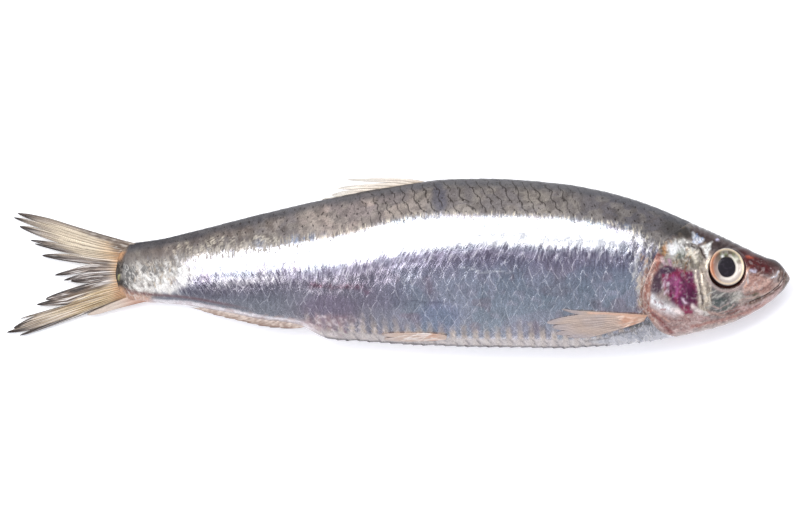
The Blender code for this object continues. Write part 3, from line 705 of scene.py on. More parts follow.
# Strokes: line, half-width, colour, silver.
HEAD_STROKES = [
    ([(21.4, -5.3), (20.6, -6.0), (19.5, -6.6), (18.0, -7.2)], 0.66, (255, 251, 250), 0.0),
    ([(21.5, -4.9), (21.1, -5.6)], 0.3, (255, 255, 255), 0.0),
    ([(21.0, -5.5), (20.8, -5.9)], 0.13, (150, 110, 116), 0.1),
    ([(19.9, -6.9), (19.2, -7.0)], 0.12, (176, 120, 116), 0.1),
    ([(20.2, -5.9), (19.6, -6.2)], 0.1, (190, 150, 150), 0.1),
    ([(18.2, -7.0), (16.8, -7.6)], 0.4, (246, 228, 222), 0.0),
    # Painted glints on the lower gill cover:
    ([(15.2, -6.6), (14.6, -7.2), (13.9, -7.5)], 0.35, (250, 234, 226), 0.1),
    ([(16.5, -5.6), (16.1, -6.1)], 0.2, (255, 226, 240), 0.2),
    ([(7.6, 1.2), (5.8, 0.1), (3.6, -0.9)], 1.0, (84, 24, 26), 0.0),
    ([(6.8, 1.0), (5.8, 0.7)], 0.18, (172, 84, 62), 0.0),
    ([(20.8, 1.0), (20.4, 0.2), (20.9, -0.9)], 0.36, (128, 24, 30), 0.2),
    ([(20.0, 1.1), (20.4, 1.3)], 0.3, (120, 30, 30), 0.2),
    ([(19.9, 0.6), (19.5, -0.2)], 0.24, (244, 210, 214), 0.5),
    ([(18.9, 0.4), (18.6, -0.4)], 0.2, (226, 180, 198), 0.4),
    # Silvery skin on the upper gill cover, painted white as its reflection:
    ([(18.6, 2.6), (18.2, 2.0), (18.4, 1.4)], 0.5, (255, 255, 253), 0.1),
    ([(17.7, 2.6), (17.9, 1.6)], 0.3, (255, 255, 250), 0.1),
    ([(15.6, 1.9), (15.0, 1.0), (14.6, 0.2)], 0.3, (240, 230, 208), 0.1),
    ([(21.7, -2.2), (21.9, -3.4), (21.8, -5.0), (21.9, -6.2)], 0.2, (190, 138, 120), 0.2),
    ([(21.9, -6.6), (21.2, -7.8), (19.8, -8.9), (18.3, -10.4)], 0.4, (142, 80, 76), 0.1),
    ([(21.2, -7.0), (19.8, -8.0), (18.6, -8.8)], 0.16, (222, 176, 160), 0.3),
    ([(15.8, -7.9), (14.6, -8.2), (12.6, -8.4)], 0.3, (200, 166, 158), 0.3),
    ([(14.7, -1.2), (14.4, -3.6), (13.8, -6.2)], 0.13, (250, 236, 214), 0.2),
    ([(14.2, -3.2), (13.9, -5.2)], 0.09, (64, 46, 40), 0.1),
    ([(13.9, -4.8), (13.6, -6.2)], 0.2, (58, 42, 36), 0.1),
    ([(13.9, -1.8), (13.5, -4.0), (13.1, -5.8)], 0.12, (244, 228, 204), 0.2),
    ([(16.2, -0.4), (16.5, -1.4)], 0.14, (140, 92, 72), 0.2),
    ([(12.6, -7.4), (9.4, -8.2), (6.4, -7.6)], 0.3, (198, 164, 150), 0.3),
    ([(15.0, -9.6), (10.0, -8.7), (6.4, -7.5), (3.4, -6.0)], 0.28, (182, 132, 120), 0.2),
    ([(6.6, -6.3), (5.4, -5.8), (4.2, -5.05), (2.9, -4.3)], 0.3, (112, 102, 83), 0.0),
    ([(0.9, -1.7), (0.6, -2.6), (1.0, -3.6)], 0.45, (108, 95, 82), 0.0),
    ([(1.6, -1.3), (1.9, -2.8), (3.2, -4.2), (5.4, -5.1), (7.8, -5.8)], 0.13, (226, 194, 178), 0.5),
    ([(1.3, -1.4), (1.6, -3.0), (2.8, -4.4), (4.8, -5.5), (7.0, -6.4)], 0.16, (132, 98, 88), 0.25),
    ([(2.4, -1.8), (3.2, -3.2), (4.8, -4.2), (7.0, -4.9)], 0.14, (156, 118, 106), 0.25),
    ([(6.6, -0.9), (6.6, -2.2), (7.1, -3.8)], 0.26, (246, 190, 162), 0.3),
    ([(6.6, -1.6), (6.6, -3.0)], 0.13, (255, 246, 240), 0.5),
    ([(7.2, -0.6), (7.5, -2.0), (8.0, -3.4)], 0.2, (112, 46, 42), 0.1),
    # Painted glints on the snout:
    ([(6.1, -1.2), (5.4, -1.3)], 0.2, (240, 232, 246), 0.5),
    ([(2.9, -2.2), (2.3, -1.9), (1.9, -1.3)], 0.14, (250, 248, 250), 0.5),
    ([(1.1, -0.9), (1.2, -2.2), (2.0, -3.6), (3.4, -4.6)], 0.14, (104, 84, 76), 0.1),
    ([(0.2, -1.2), (-0.1, -2.4), (0.4, -3.6), (1.6, -4.8)], 0.4, (96, 82, 71), 0.0),
    ([(1.9, -0.4), (1.6, -1.4), (2.1, -2.8)], 0.1, (70, 56, 50), 0.0),
    ([(3.4, -2.6), (5.0, -3.6), (7.2, -4.4)], 0.3, (222, 184, 168), 0.2),
    # A painted lilac glint on the crown:
    ([(11.5, 3.5), (11.1, 3.6)], 0.16, (206, 200, 226), 0.3),
    ([(16.2, 6.3), (15.4, 5.6)], 0.2, (176, 162, 146), 0.3),
]
# Loose silver flakes behind the eye, painted white as reflection, in the same form as the areas, and dashes
# on them.
HEAD_FLAKE_GLINTS = [
    ([(15.1, 4.9), (14.5, 4.2), (13.3, 3.6), (13.9, 3.0), (14.4, 2.8), (15.1, 3.2)],
     0.2, (248, 250, 255), 0.0),
    ([(13.9, 2.5), (13.0, 2.9), (12.2, 3.2), (12.4, 2.0), (12.8, 0.6), (13.1, 1.2), (13.6, 2.0)], 0.2,
     (255, 254, 247), 0.0),
]
FLAKE_DASHES = [
    ((14.4, 3.7), (0.8, 0.9), 9, 0.5, 0.07, 100, (136, 160, 200), 0.1),
    ((14.3, 3.5), (0.9, 0.9), 8, 0.4, 0.06, 60, (92, 84, 90), 0.1),
    ((13.0, 2.2), (0.6, 1.2), 5, 0.6, 0.06, 100, (200, 178, 150), 0.1),
    ((13.6, 2.6), (1.6, 1.6), 9, 0.5, 0.06, 120, (76, 60, 52), 0.1),
]

# Lines of the head: a crack behind the eye, the cheek bone's edge and groove, and the streaks of the jaw.
HEAD_CRACK = [(15.8, 2.8), (14.9, 2.3), (14.1, 2.2), (13.5, 1.3), (13.2, 0.8)]
PREOPERCLE = [(14.5, -1.3), (14.1, -4.1), (13.6, -7.0)]
PREOPERCLE_GROOVE = [(14.0, -1.5), (13.5, -5.6), (13.1, -7.8)]
PREOPERCLE_FRONT = [(13.5, -1.8), (13.0, -4.4), (12.7, -6.6)]
MAXILLA_STREAKS = [[(1.5, -1.4), (2.2, -2.8), (3.6, -3.9), (6.0, -4.8), (8.2, -5.6)],
                   [(1.2, -1.9), (2.0, -3.2), (3.4, -4.3), (5.4, -5.2), (7.6, -6.1)],
                   [(2.2, -1.7), (3.0, -3.0), (4.4, -3.8), (6.6, -4.5)]]
# What stands out of the head or sinks into it: line, height in millimetres, half-width.
HEAD_RIDGES = [(MOUTH, -0.22, 0.15), *((streak, 0.07, 0.22) for streak in MAXILLA_STREAKS),
               (PREOPERCLE, 0.16, 0.25), (PREOPERCLE_GROOVE, -0.16, 0.2), (PREOPERCLE_FRONT, 0.1, 0.25)]
NOSTRIL = (4.6, 0.3)
# The gill cover's bones fan out from here, and the thin bone over the gills is dented round its middle.
GILL_FAN = (13.5, 0.5)
DENT, DENT_RADII = (17.2, -3.6), (3.2, 4.2)
# Rings behind the gill cover's edge, where it turns in: how far forwards or back, and how far out.
GILL_RIM = ((0.08, -0.1), (0.1, -0.3), (0.02, -0.5), (-0.6, -0.7))
CROWN_DEPTH = smooth_curve([(0, 0.6), (4, 1.2), (8, 1.8), (12, 2.2), (15, 2.4), (20, 3.8)])


def paint_head(canvas):
    s, y = canvas.exact
    p = canvas.points
    canvas.wash(1, (176, 156, 148), 0.3)
    canvas.speckle(0.5, 1.5, 0.45, 20, (146, 132, 126), 0.4)
    canvas.speckle(0.5, 0.8, 0.55, 21, (206, 186, 172), 0.4)
    for area in HEAD_AREAS:
        canvas.area(*area)
    for centre, radii, colour, silver, turn in HEAD_SPOTS:
        canvas.spot(centre, radii, colour, silver, HEAD_STRENGTH, turn)
    # The crown, and the dark line of the profile.
    deep = back(canvas.distance) - canvas.height
    crown = fall(-0.4, 0.5, deep - CROWN_DEPTH(s))
    canvas.wash(crown, (68, 52, 51), 0.05)
    canvas.speckle(0.6 * crown, 1.0, 0.55, 23, (70, 56, 54), 0.2)
    canvas.speckle(0.25 * crown, 0.7, 0.55, 24, (104, 88, 82), 0.05)
    canvas.wash(0.75 * fall(0.2, 0.6, deep) * rise(1.0, 3.0, s), (56, 48, 48), 0.1)
    canvas.area(MOUTH + [(8.6, -7.2), (5.0, -8.0), (1.0, -6.0), (-1.0, -3.0)], 0.2, (202, 170, 162), 0.2)
    canvas.all_dashes(HEAD_DASHES, 0)
    for stroke in HEAD_STROKES:
        canvas.stroke(*stroke, HEAD_STRENGTH)
    # Flakes of loose silver, painted white as reflection.
    for flake_glint in HEAD_FLAKE_GLINTS:
        canvas.area(*flake_glint, 0.9)
    canvas.all_dashes(FLAKE_DASHES, 30)
    canvas.stroke(HEAD_CRACK, 0.2, (48, 34, 28), 0.1)
    # The mouth's line is painted dark as shade in its groove.
    canvas.stroke(MOUTH, 0.11, (92, 64, 56), 0.1, 0.85)
    # Fine painted glints, and dark specks.
    canvas.speckle(0.2 * (1 - crown), 0.35, 0.68, 27, (240, 226, 222), 0.3)
    canvas.speckle(0.25 * (1 - 0.5 * crown), 0.35, 0.66, 28, (84, 66, 66), 0.2)
    # The gill cover's thin margin, and scratches.
    before_edge = gill_edge_at(y, s) - s
    margin = hump(before_edge - 0.45, 0.42) * rise(1.6, -0.6, y) * rise(-9.6, -8.2, y)
    canvas.wash(margin * (0.3 + noise(p, 0.7, 37)), (196, 142, 122), 0.1)
    canvas.speckle(0.7 * margin, 0.28, 0.54, 29, (240, 218, 202), 0.1, (1, 0.4, 0.4))
    canvas.speckle(0.7 * margin, 0.28, 0.56, 35, (136, 84, 74), 0.1, (1, 0.35, 0.35))
    canvas.worn += 0.05 + 0.45 * hump(np.hypot(s - 16.6, y - 1.0), 2.4) + 0.3 * margin
    canvas.worn += 0.2 * hump(np.hypot(s - 20.6, y + 5.8), 1.6)
    canvas.worn *= 1 - crown
    # The skin of the nape laps over the gill cover.
    nape = rise(-1.6, -0.3, s - gill_edge_at(y, s)) * rise(2.6, 4.2, y)
    canvas.wash(0.9 * nape, (84, 79, 80), 0.1)
    canvas.spot((17.0, 5.0), (2.4, 1.1), (58, 54, 49), 0.0, 0.85, 25)
    canvas.speckle(0.5 * nape, 0.5, 0.5, 36, (112, 98, 82), 0.1)
    canvas.rgb *= np.minimum(1.1, 1 + 0.7 * (noise(p, 0.3, 34) - 0.45))[..., None]
    canvas.rgb = np.minimum(canvas.rgb, 1)
    # Round the eye: the socket painted dark red-brown as shade, a pale rim below it, and painted shade above
    # the eye.
    far = np.hypot(s - SOCKET[0], y - SOCKET[1])
    canvas.wash(fall(2.8, 2.95, far), (112, 58, 48), 0.0)
    canvas.wash(0.9 * hump(far - 3.25, 0.2) * rise(-1.0, -2.2, y), (206, 182, 172), 0.3)
    shade = np.hypot(s - EYE[0], y - EYE[1])
    canvas.wash(0.7 * fall(2.9, 3.7, shade) * rise(0.5, 2.0, y), (70, 58, 56), 0.2)


def gill_edge_at(height, distance):
    """Where the gill cover's edge is at a height."""
    centre, half = centre_and_half_height(distance)
    return gill_edge(np.clip(((height - centre) / half + 1) / 2, 0, 1))


def head_relief(distance, height, points):
    """How far the head stands out of the bare body, in millimetres."""
    calm = rise(0.8, 3.0, back(distance) - height)
    relief = 0.05 * (noise(points, 1.3, 30) - 0.5) + 0.03 * calm * (noise(points, 0.5, 31) - 0.5)
    for line, high, half_width in HEAD_RIDGES:
        relief += high * hump(line_distance(distance, height, line), half_width)
    # The thin bone over the gills sinks a little and is dented.
    sunk = np.hypot((distance - DENT[0]) / DENT_RADII[0], (height - DENT[1]) / DENT_RADII[1])
    relief -= 0.3 * fall(0.5, 1.2, sunk) * (0.6 + 0.8 * noise(points, 1.6, 32))
    ray = np.hypot(distance - GILL_FAN[0], height - GILL_FAN[1])
    turn = np.arctan2(height - GILL_FAN[1], distance - GILL_FAN[0])
    relief += 0.03 * np.cos(turn * 34 + 3 * noise(points, 2, 33)) * rise(2, 4, ray) * (height > -12)
    far = np.hypot((distance - SOCKET[0]) / SOCKET_RADII[0], (height - SOCKET[1]) / SOCKET_RADII[1])
    relief += 0.12 * hump(far - 1.1, 0.07)
    relief -= 1.0 * fall(0.95, 1.04, far)
    relief -= 0.25 * hump(np.hypot(distance - NOSTRIL[0], height - NOSTRIL[1]), 0.22)
    return relief


def make_head(material):
    angle = np.linspace(0, 2 * math.pi, HEAD_POINTS, endpoint=False)
    edge = gill_edge((np.cos(angle) + 1) / 2)
    share = (np.arange(1, HEAD_RINGS + 1) / HEAD_RINGS) ** 1.2
    distance = share[:, None] * edge
    angle = np.broadcast_to(angle, distance.shape)
    height = flank(distance, angle)[0]
    bare = body_points(distance, angle)
    sides = np.abs(np.sin(angle))
    lifted = 0.42 - 0.36 * rise(0.55, 0.75, (np.cos(angle) + 1) / 2)
    lift = lifted * rise(0.55, 0.95, share)[:, None] * sides + 0.03 * rise(0.9, 1, share)[:, None]
    relief = head_relief(distance, height, bare) * rise(0.2, 1.2, distance)
    relief[-3:] *= np.array([0.7, 0.4, 0.0])[:, None]
    normal = outward(bare)
    points = bare + normal * (lift + relief)[..., None]
    # The gill cover's edge turns in, and the skin then closes off inside the body.
    rims = []
    for back_by, out in GILL_RIM:
        shift = np.array([-back_by, 0, 0])
        rims.append(points[-1] + shift + normal[-1] * out)
    points = press_on_floor(np.concatenate([points, np.array(rims)]))
    extra = len(rims)
    distance = np.concatenate([distance, np.repeat(distance[-1:], extra, 0)])
    height = np.concatenate([height, np.repeat(height[-1:], extra, 0)])
    canvas = Canvas(points, distance, height, 0.25)
    paint_head(canvas)
    # The rings that turn in under the gill cover's edge are painted darker, as shade.
    canvas.rgb[-extra:] *= np.array([0.9, 0.7, 0.5, 0.4])[:, None, None]
    tip = np.array([JAW_X, JAW_TIP_HEIGHT, mid_plane(0)])
    inner = points[-1].mean(0)
    no_place = [0 * distance] * 3
    skin_object("head", points, [tip, inner], canvas, canvas, no_place, no_place, material)


def skin_object(name, points, ends, canvas, back_canvas, scale_place, hair_place, material):
    """A closed tube of skin from a grid of points and the two points that close its ends."""
    grids = {"paint": canvas.rgb, "back_paint": back_canvas.rgb, "silver": canvas.silver,
             "pigment": canvas.pigment, "scaly": canvas.scaly, "worn": canvas.worn,
             "scale_place": np.stack(scale_place, -1), "hair_place": np.stack(hair_place, -1)}
    values = {}
    for key, grid in grids.items():
        flat = grid.reshape(-1, *grid.shape[2:])
        values[key] = np.concatenate([flat, flat[:1], flat[-1:]])
    faces = tube_faces(*points.shape[:2])
    obj = mesh_object(name, np.concatenate([points.reshape(-1, 3), ends]), faces, **values)
    finish_piece(obj, material, "brisling")


def make_trunk(material):
    angle = np.linspace(0, 2 * math.pi, TRUNK_POINTS, endpoint=False)
    edge = gill_edge((np.cos(angle) + 1) / 2)
    start = edge - UNDER_GILL_COVER
    end = TAIL_ROOT + TAIL_ROOT_BULGE * np.sin(angle) ** 2
    around = np.stack([np.cos(angle), np.sin(angle), 0 * angle], 1)
    end = end + 0.15 * (noise(around, 0.35, 46) - 0.6) * np.sin(angle) ** 2
    share = np.linspace(0, 1, TRUNK_RINGS)
    share -= RINGS_CLOSER_AT_ENDS * np.sin(2 * math.pi * share)
    distance = start + (end - start) * share[:, None]
    angle = np.broadcast_to(angle, distance.shape)
    height = flank(distance, angle)[0]
    bare = body_points(distance, angle)
    normal = outward(bare)
    u, v = scale_places(distance, bare)
    up = height - belly(distance)
    scales = SCALE_RELIEF * (1 - scale_on_top(u, v, numpy_do)[0])
    scales *= rise(0.6, 1.8, up) * scale_size(distance)
    tooth = np.mod(distance / SCUTE_PITCH, 1)
    scutes = SCUTE_RELIEF * tooth ** 1.5 * fall(0.1, 0.7, up)
    scutes *= rise(18, 20, distance) * fall(69, 72, distance)
    folds = 0.1 * (noise(bare * (1, 0.5, 0.5), 4, 40) - 0.5) + 0.04 * (noise(bare, 1.4, 41) - 0.5)
    tuck = -0.3 * fall(-0.5, 0.0, distance - edge)
    thin_end = -0.25 * rise(-1.2, 0.0, distance - end)
    relief = scales + scutes + folds + tuck + thin_end
    points = press_on_floor(bare + normal * relief[..., None])
    canvas = Canvas(points, distance, height)
    paint_trunk(canvas)
    # Where the trunk reaches under the gill cover it is painted darker, as shade.
    canvas.rgb *= (0.8 + 0.2 * rise(-0.1, 0.3, distance - edge))[..., None]
    back_canvas = Canvas(points, distance, height)
    paint_back(back_canvas)
    fade_into_tail(canvas)
    fade_into_tail(back_canvas)
    below = height - BAND_BOTTOM(distance)
    lean = distance + HAIR_LEAN(distance) * below
    hairy = rise(-3.6, -1.2, below) * fall(-0.1, 1.0, below) * fall(92, 97, distance)
    ends = [points[0].mean(0), points[-1].mean(0)]
    scale_place, hair_place = (u, v, distance), (lean, height, hairy)
    skin_object("trunk", points, ends, canvas, back_canvas, scale_place, hair_place, material)


# Fins are fans of rays, as in the solids. A border is (root, bend, parting point): the two rays on either
# side of it share it that far, and each ray then runs on alone to its tip.
TAIL_BORDERS = [
    ((98.3, 2.6), (102.5, 3.4), (113.0, 6.75)), ((100.4, 2.2), (104.5, 2.7), (113.3, 5.75)),
    ((100.4, 1.8), (105.0, 2.1), (113.0, 4.75)), ((100.4, 1.3), (105.5, 1.3), (111.5, 2.95)),
    ((100.4, 0.9), (105.5, 0.9), (112.8, 2.5)), ((100.4, 0.5), (105.0, 0.4), (109.8, 1.3)),
    ((100.4, -0.6), (103.5, -0.4), (106.9, -0.2)), ((100.4, -1.2), (103.5, -1.0), (107.0, -1.25)),
    ((100.4, -1.7), (104.5, -1.7), (108.8, -2.35)), ((100.4, -2.3), (103.5, -2.3), (107.0, -3.05)),
    ((100.4, -2.9), (105.0, -3.4), (110.8, -5.35)), ((100.4, -3.4), (105.0, -4.1), (110.6, -6.4)),
    ((100.4, -3.8), (106.0, -5.3), (115.6, -8.1)), ((100.4, -4.2), (107.0, -6.2), (117.2, -9.75)),
    ((100.4, -4.5), (106.0, -6.5), (116.3, -10.3)), ((100.4, -4.8), (103.4, -5.8), (106.8, -7.4)),
    ((97.6, -5.7), (101.0, -6.5), (104.5, -7.45)),
]
TAIL_TIPS = [(118.4, 7.65), (119.0, 7.0), (118.05, 5.55), (116.4, 3.55), (115.6, 2.85), (114.5, 1.05),
             (112.7, -1.9), (111.2, -2.6), (110.0, -2.9), (113.8, -5.3), (115.4, -6.4), (117.5, -8.35),
             (118.85, -9.85), (120.0, -10.7), (116.4, -10.8), (107.3, -8.05)]
DORSAL_BORDERS = [
    ((54.0, 11.6), (55.8, 12.95), (61.6, 12.95)), ((56.5, 11.2), (58.5, 12.25), (61.0, 12.25)),
    ((59.5, 10.7), (63.0, 11.6), (67.0, 11.2)), ((62.5, 10.2), (65.5, 10.9), (68.8, 10.2)),
    ((66.5, 9.6), (68.0, 10.0), (70.0, 9.55)),
]
DORSAL_TIPS = [(67.8, 12.7), (68.5, 11.65), (70.0, 10.5), (71.5, 9.75)]
PECTORAL_BORDERS = [
    ((21.8, -7.9), (26.0, -7.6), (33.4, -7.2)), ((22.0, -8.1), (26.5, -7.95), (32.4, -7.9)),
    ((22.2, -8.3), (27.0, -8.5), (34.6, -9.3)), ((22.3, -8.5), (27.0, -9.1), (34.4, -10.3)),
    ((22.4, -8.7), (26.6, -9.6), (33.4, -11.0)), ((22.5, -8.85), (25.9, -10.2), (30.8, -11.4)),
]
PECTORAL_TIPS = [(35.0, -7.1), (37.2, -8.95), (36.4, -9.8), (35.9, -10.85), (33.9, -11.4)]
PELVIC_BORDERS = [
    ((52.4, -11.1), (55.0, -10.5), (59.6, -10.7)), ((52.5, -11.4), (55.5, -11.25), (60.2, -11.35)),
    ((52.6, -11.7), (55.0, -12.05), (59.4, -12.0)),
]
PELVIC_TIPS = [(62.4, -10.95), (62.0, -11.7)]
ANAL_RAYS = 9
ANAL_START, ANAL_END = 73.4, 89.0
ANAL_DEPTH = [(73, 0.1), (75.5, 0.75), (79, 1.05), (83, 0.95), (88, 0.75), (92.5, 0.1)]
ANAL_BEND, ANAL_PARTING, ANAL_TIP = (1.0, 0.3), (2.4, 0.85), (4.2, 1.0)
ANAL_ROOT_SUNK = 0.7
FIN_ROWS, TIP_ROWS, RAY_COLUMNS = 40, 16, 12
# The least height of a fin's points over the floor, and how thick a fin is at its tips.
FIN_OFF_FLOOR = 0.02
FIN_TIP_THICKNESS = 0.2


def bend(root, via, end, t):
    """A point on the quadratic curve from root to end that bends towards via."""
    return (1 - t) ** 2 * np.array(root) + 2 * t * (1 - t) * np.array(via) + t * t * np.array(end)


def fan(borders, tips):
    """(places, ray number, share of the way to the tip, faces) of a fan of rays as a flat sheet."""
    t = np.linspace(0, 1, FIN_ROWS + 1)[:, None]
    lines = [bend(*border, t) for border in borders]
    columns, rays = [lines[0]], [0.0]
    for k, (left, right) in enumerate(zip(lines, lines[1:])):
        for c in range(1, RAY_COLUMNS + 1):
            columns.append(left + (right - left) * c / RAY_COLUMNS)
            rays.append(k + c / RAY_COLUMNS)
    rows = FIN_ROWS + 1
    places = list(np.concatenate(columns))
    ray = [r for r in rays for _ in range(rows)]
    reach = []
    for number in rays:
        k = min(int(number), len(tips) - 1)
        full = np.hypot(*(np.array(tips[k]) - borders[k][0]))
        way = np.hypot(*(lines[k] - lines[k][0]).T) / full
        reach += list(way)
    faces = []
    for left in range(len(columns) - 1):
        for i in range(FIN_ROWS):
            a, b = left * rows + i, (left + 1) * rows + i
            faces.append((a, a + 1, b + 1, b))
    for k, tip in enumerate(tips):
        first = k * RAY_COLUMNS
        row = [(first + c) * rows + FIN_ROWS for c in range(RAY_COLUMNS + 1)]
        edge = np.array([places[i] for i in row])
        middle = edge.mean(0)
        begin = reach[row[RAY_COLUMNS // 2]]
        for i in range(1, TIP_ROWS):
            t = i / TIP_ROWS
            centre = middle + (np.array(tip) - middle) * t
            new = []
            for c in range(RAY_COLUMNS + 1):
                places.append(centre + (edge[c] - middle) * (1 - t ** 2) ** 0.65)
                ray.append(k + c / RAY_COLUMNS)
                reach.append(begin + (1 - begin) * t)
                new.append(len(places) - 1)
            faces += [(row[c], new[c], new[c + 1], row[c + 1]) for c in range(RAY_COLUMNS)]
            row = new
        places.append(np.array(tip))
        ray.append(k + 0.5)
        reach.append(1.0)
        faces += [(row[c], len(places) - 1, row[c + 1]) for c in range(RAY_COLUMNS)]
    return np.array(places), np.array(ray), np.array(reach), faces


def sheet_faces(faces, n):
    """Faces of the closed sheet whose second side's points follow the n points of its first."""
    edges = {}
    for face in faces:
        for a, b in zip(face, face[1:] + face[:1]):
            edges[(a, b)] = (b, a)
    rim = [edge for edge in edges if edges[edge] not in edges]
    return (list(faces) + [tuple(n + v for v in reversed(face)) for face in faces]
            + [(b, a, n + a, n + b) for a, b in rim])


def fin_object(name, places, top, bottom, ray, reach, faces, paint, material):
    x = JAW_X - places[:, 0]
    points = np.concatenate([np.stack([x, places[:, 1], top], 1), np.stack([x, places[:, 1], bottom], 1)])
    points[:, 2] = np.maximum(points[:, 2], FIN_OFF_FLOOR)
    distance, height, ray, reach = (np.tile(v, 2) for v in (places[:, 0], places[:, 1], ray, reach))
    canvas = Canvas(points, distance, height, 0.15)
    paint(canvas, ray, reach)
    obj = mesh_object(name, points, sheet_faces(faces, len(places)), paint=canvas.rgb,
                      ray_place=np.stack([ray, reach, distance], 1), rayed=canvas.silver, worn=canvas.worn)
    finish_piece(obj, material, "brisling")


def ray_ridges(ray, reach):
    """Each bundle is two rays at its root and four towards its tip."""
    fine = rise(0.5, 0.8, reach)
    return (1 - fine) * np.abs(np.sin(2 * math.pi * ray)) + fine * np.abs(np.sin(4 * math.pi * ray))


def median_fin(name, borders, tips, paint, material, root_thickness=0.75):
    places, ray, reach, faces = fan(borders, tips)
    distance = places[:, 0]
    thickness = root_thickness + (FIN_TIP_THICKNESS - root_thickness) * rise(0.0, 0.9, reach)
    thickness = thickness + 0.12 * ray_ridges(ray, reach)
    wave = 0.25 * (noise(np.stack([distance, places[:, 1], 0 * distance], 1), 3.0, 50) - 0.5) * reach
    middle = mid_plane(distance) + wave
    middle = np.maximum(middle, thickness / 2 + 0.05)
    top, bottom = middle + thickness / 2, middle - thickness / 2
    fin_object(name, places, top, bottom, ray, reach, faces, paint, material)


def paired_fin(name, borders, tips, paint, material, side):
    places, ray, reach, faces = fan(borders, tips)
    distance = places[:, 0]
    depth = flank_at(distance, places[:, 1])
    lift = 0.3 + 0.1 * ray_ridges(ray, reach) - 0.1 * rise(0.6, 1, reach)
    outer = mid_plane(distance) + side * (depth + lift)
    inner = mid_plane(distance) + side * (depth - 0.3)
    upper, lower = (outer, inner) if side > 0 else (inner, outer)
    fin_object(name, places, upper, lower, ray, reach, faces, paint, material)


def paint_tail(canvas, ray, reach):
    """A fin's silver says how far its rays show."""
    s, y = canvas.exact
    lengths = [math.dist(tip, border[0]) for border, tip in zip(TAIL_BORDERS, TAIL_TIPS)]
    to_tip = (1 - reach) * np.interp(ray, np.arange(len(lengths)) + 0.5, lengths)
    streaks = noise(np.stack([ray * 1.0, reach * 1.6, 0 * ray], 1), 0.3, 62)
    canvas.wash(1, (219, 203, 176), 1.0)
    canvas.wash(0.8 * fall(103.2, 107.0, canvas.distance), (216, 177, 132))
    canvas.wash(0.6 * fall(102.7, 103.9, canvas.distance), (192, 138, 94))
    low = rise(-2.4, -3.6, y) * rise(103, 106, s)
    canvas.wash(0.75 * low, (222, 190, 136))
    canvas.wash(0.5 * low * rise(108, 114, s), (202, 192, 180))
    fibres = noise(np.stack([ray * 4, reach * 1.2, 0 * ray], 1), 0.5, 67)
    canvas.wash(0.6 * low * rise(0.45, 0.65, fibres), (150, 122, 90))
    canvas.wash(0.6 * low * rise(0.4, 0.2, fibres), (232, 216, 188))
    canvas.wash(0.5 * (1 - low) * rise(0.5, 0.7, fibres), (186, 168, 146))
    inner = rise(4.6, 6.0, ray) * fall(9.0, 10.5, ray) * rise(102.8, 105, s)
    canvas.wash(0.75 * inner, (178, 160, 150))
    canvas.wash(0.9 * inner * rise(0.42, 0.55, fibres), (72, 60, 54))
    canvas.wash(0.8 * inner * rise(0.3, 0.2, fibres), (236, 230, 226))
    for mid, wide in ((9.8, 0.5), (6.3, 0.25)):
        canvas.wash(0.8 * hump(ray - mid, wide) * rise(103.5, 106, s), (92, 72, 56))
    notch = rise(2.7, 3.6, ray) * fall(4.6, 5.0, ray) * rise(0.55, 0.75, reach)
    shelf = rise(9.6, 10.2, ray) * fall(11.0, 12.0, ray) * rise(0.35, 0.6, reach)
    canvas.wash(0.8 * np.maximum(notch, shelf) * rise(0.25, 0.55, streaks), (98, 82, 74))
    canvas.wash(0.55 * fall(2.5, 7.0, to_tip + 4 * (streaks - 0.5)), (150, 136, 130))
    canvas.wash(0.95 * fall(0.8, 3.2, to_tip + 3 * (streaks - 0.5)), (42, 36, 35))
    top_edge = fall(0.6, 1.3, ray + 1.0 * rise(103, 112, s) + 0.4 * canvas.ripple(65))
    top_edge = np.maximum(top_edge, fall(102.6, 104.6, canvas.distance - 0.5 * (y - 2)) * rise(1.0, 2.4, y))
    canvas.wash(0.9 * top_edge, (100, 90, 81))
    canvas.speckle(0.7 * top_edge, 0.3, 0.6, 63, (196, 186, 174))
    along_top = hump(ray - 0.25, 0.22) * rise(105, 110, s)
    canvas.wash(0.6 * along_top, (146, 130, 120))
    for edge, wide in ((0.0, 0.14), (15.0, 0.3)):
        canvas.wash(0.85 * hump(ray - edge, wide) * rise(101.5, 103.5, s), (66, 54, 44))
    canvas.worn += 0.06 + 0.8 * inner + 0.5 * low + 0.5 * np.maximum(notch, shelf)
    canvas.worn += 0.5 * fall(2.0, 6.0, to_tip)
    canvas.worn *= np.maximum(rise(0.2, 2.4, to_tip), rise(14.2, 14.6, ray))
    flap = rise(15.0, 15.15, ray)
    canvas.worn *= 1 - flap
    canvas.wash(flap, (200, 183, 168), 0.0)
    canvas.wash(0.9 * flap * fall(99.5, 103.5, s), (176, 134, 114))


def paint_dorsal(canvas, ray, reach):
    canvas.wash(1, (234, 222, 206), 0.6)
    canvas.wash(0.8 * fall(0.05, 0.35, reach), (176, 154, 126))
    canvas.wash(0.9 * rise(0.45, 0.9, reach), (250, 244, 232))


def paint_pectoral(canvas, ray, reach):
    canvas.wash(1, (194, 174, 160), 0.3)
    canvas.wash(0.6 * rise(0.4, 0.8, noise(canvas.points, 1.8, 61)), (182, 168, 163))
    canvas.wash(0.7 * fall(0.1, 0.45, reach), (214, 176, 152))
    canvas.spot((24.8, -9.0), (1.6, 1.2), (214, 150, 116), None, 0.45, 20)
    canvas.dashes((24.6, -8.9), (2.2, 1.2), 14, 120, 1.4, 0.12, 160, (246, 224, 206), 0.1)
    canvas.stroke([(22.0, -8.1), (26.5, -7.8), (31.0, -7.6)], 0.16, (232, 190, 164), None, 0.8)
    canvas.dashes((29.0, -9.2), (5.0, 1.6), 16, 121, 3.2, 0.07, 172, (166, 146, 134), 0.1)
    canvas.wash(0.6 * rise(0.7, 1.0, reach), (176, 170, 176))


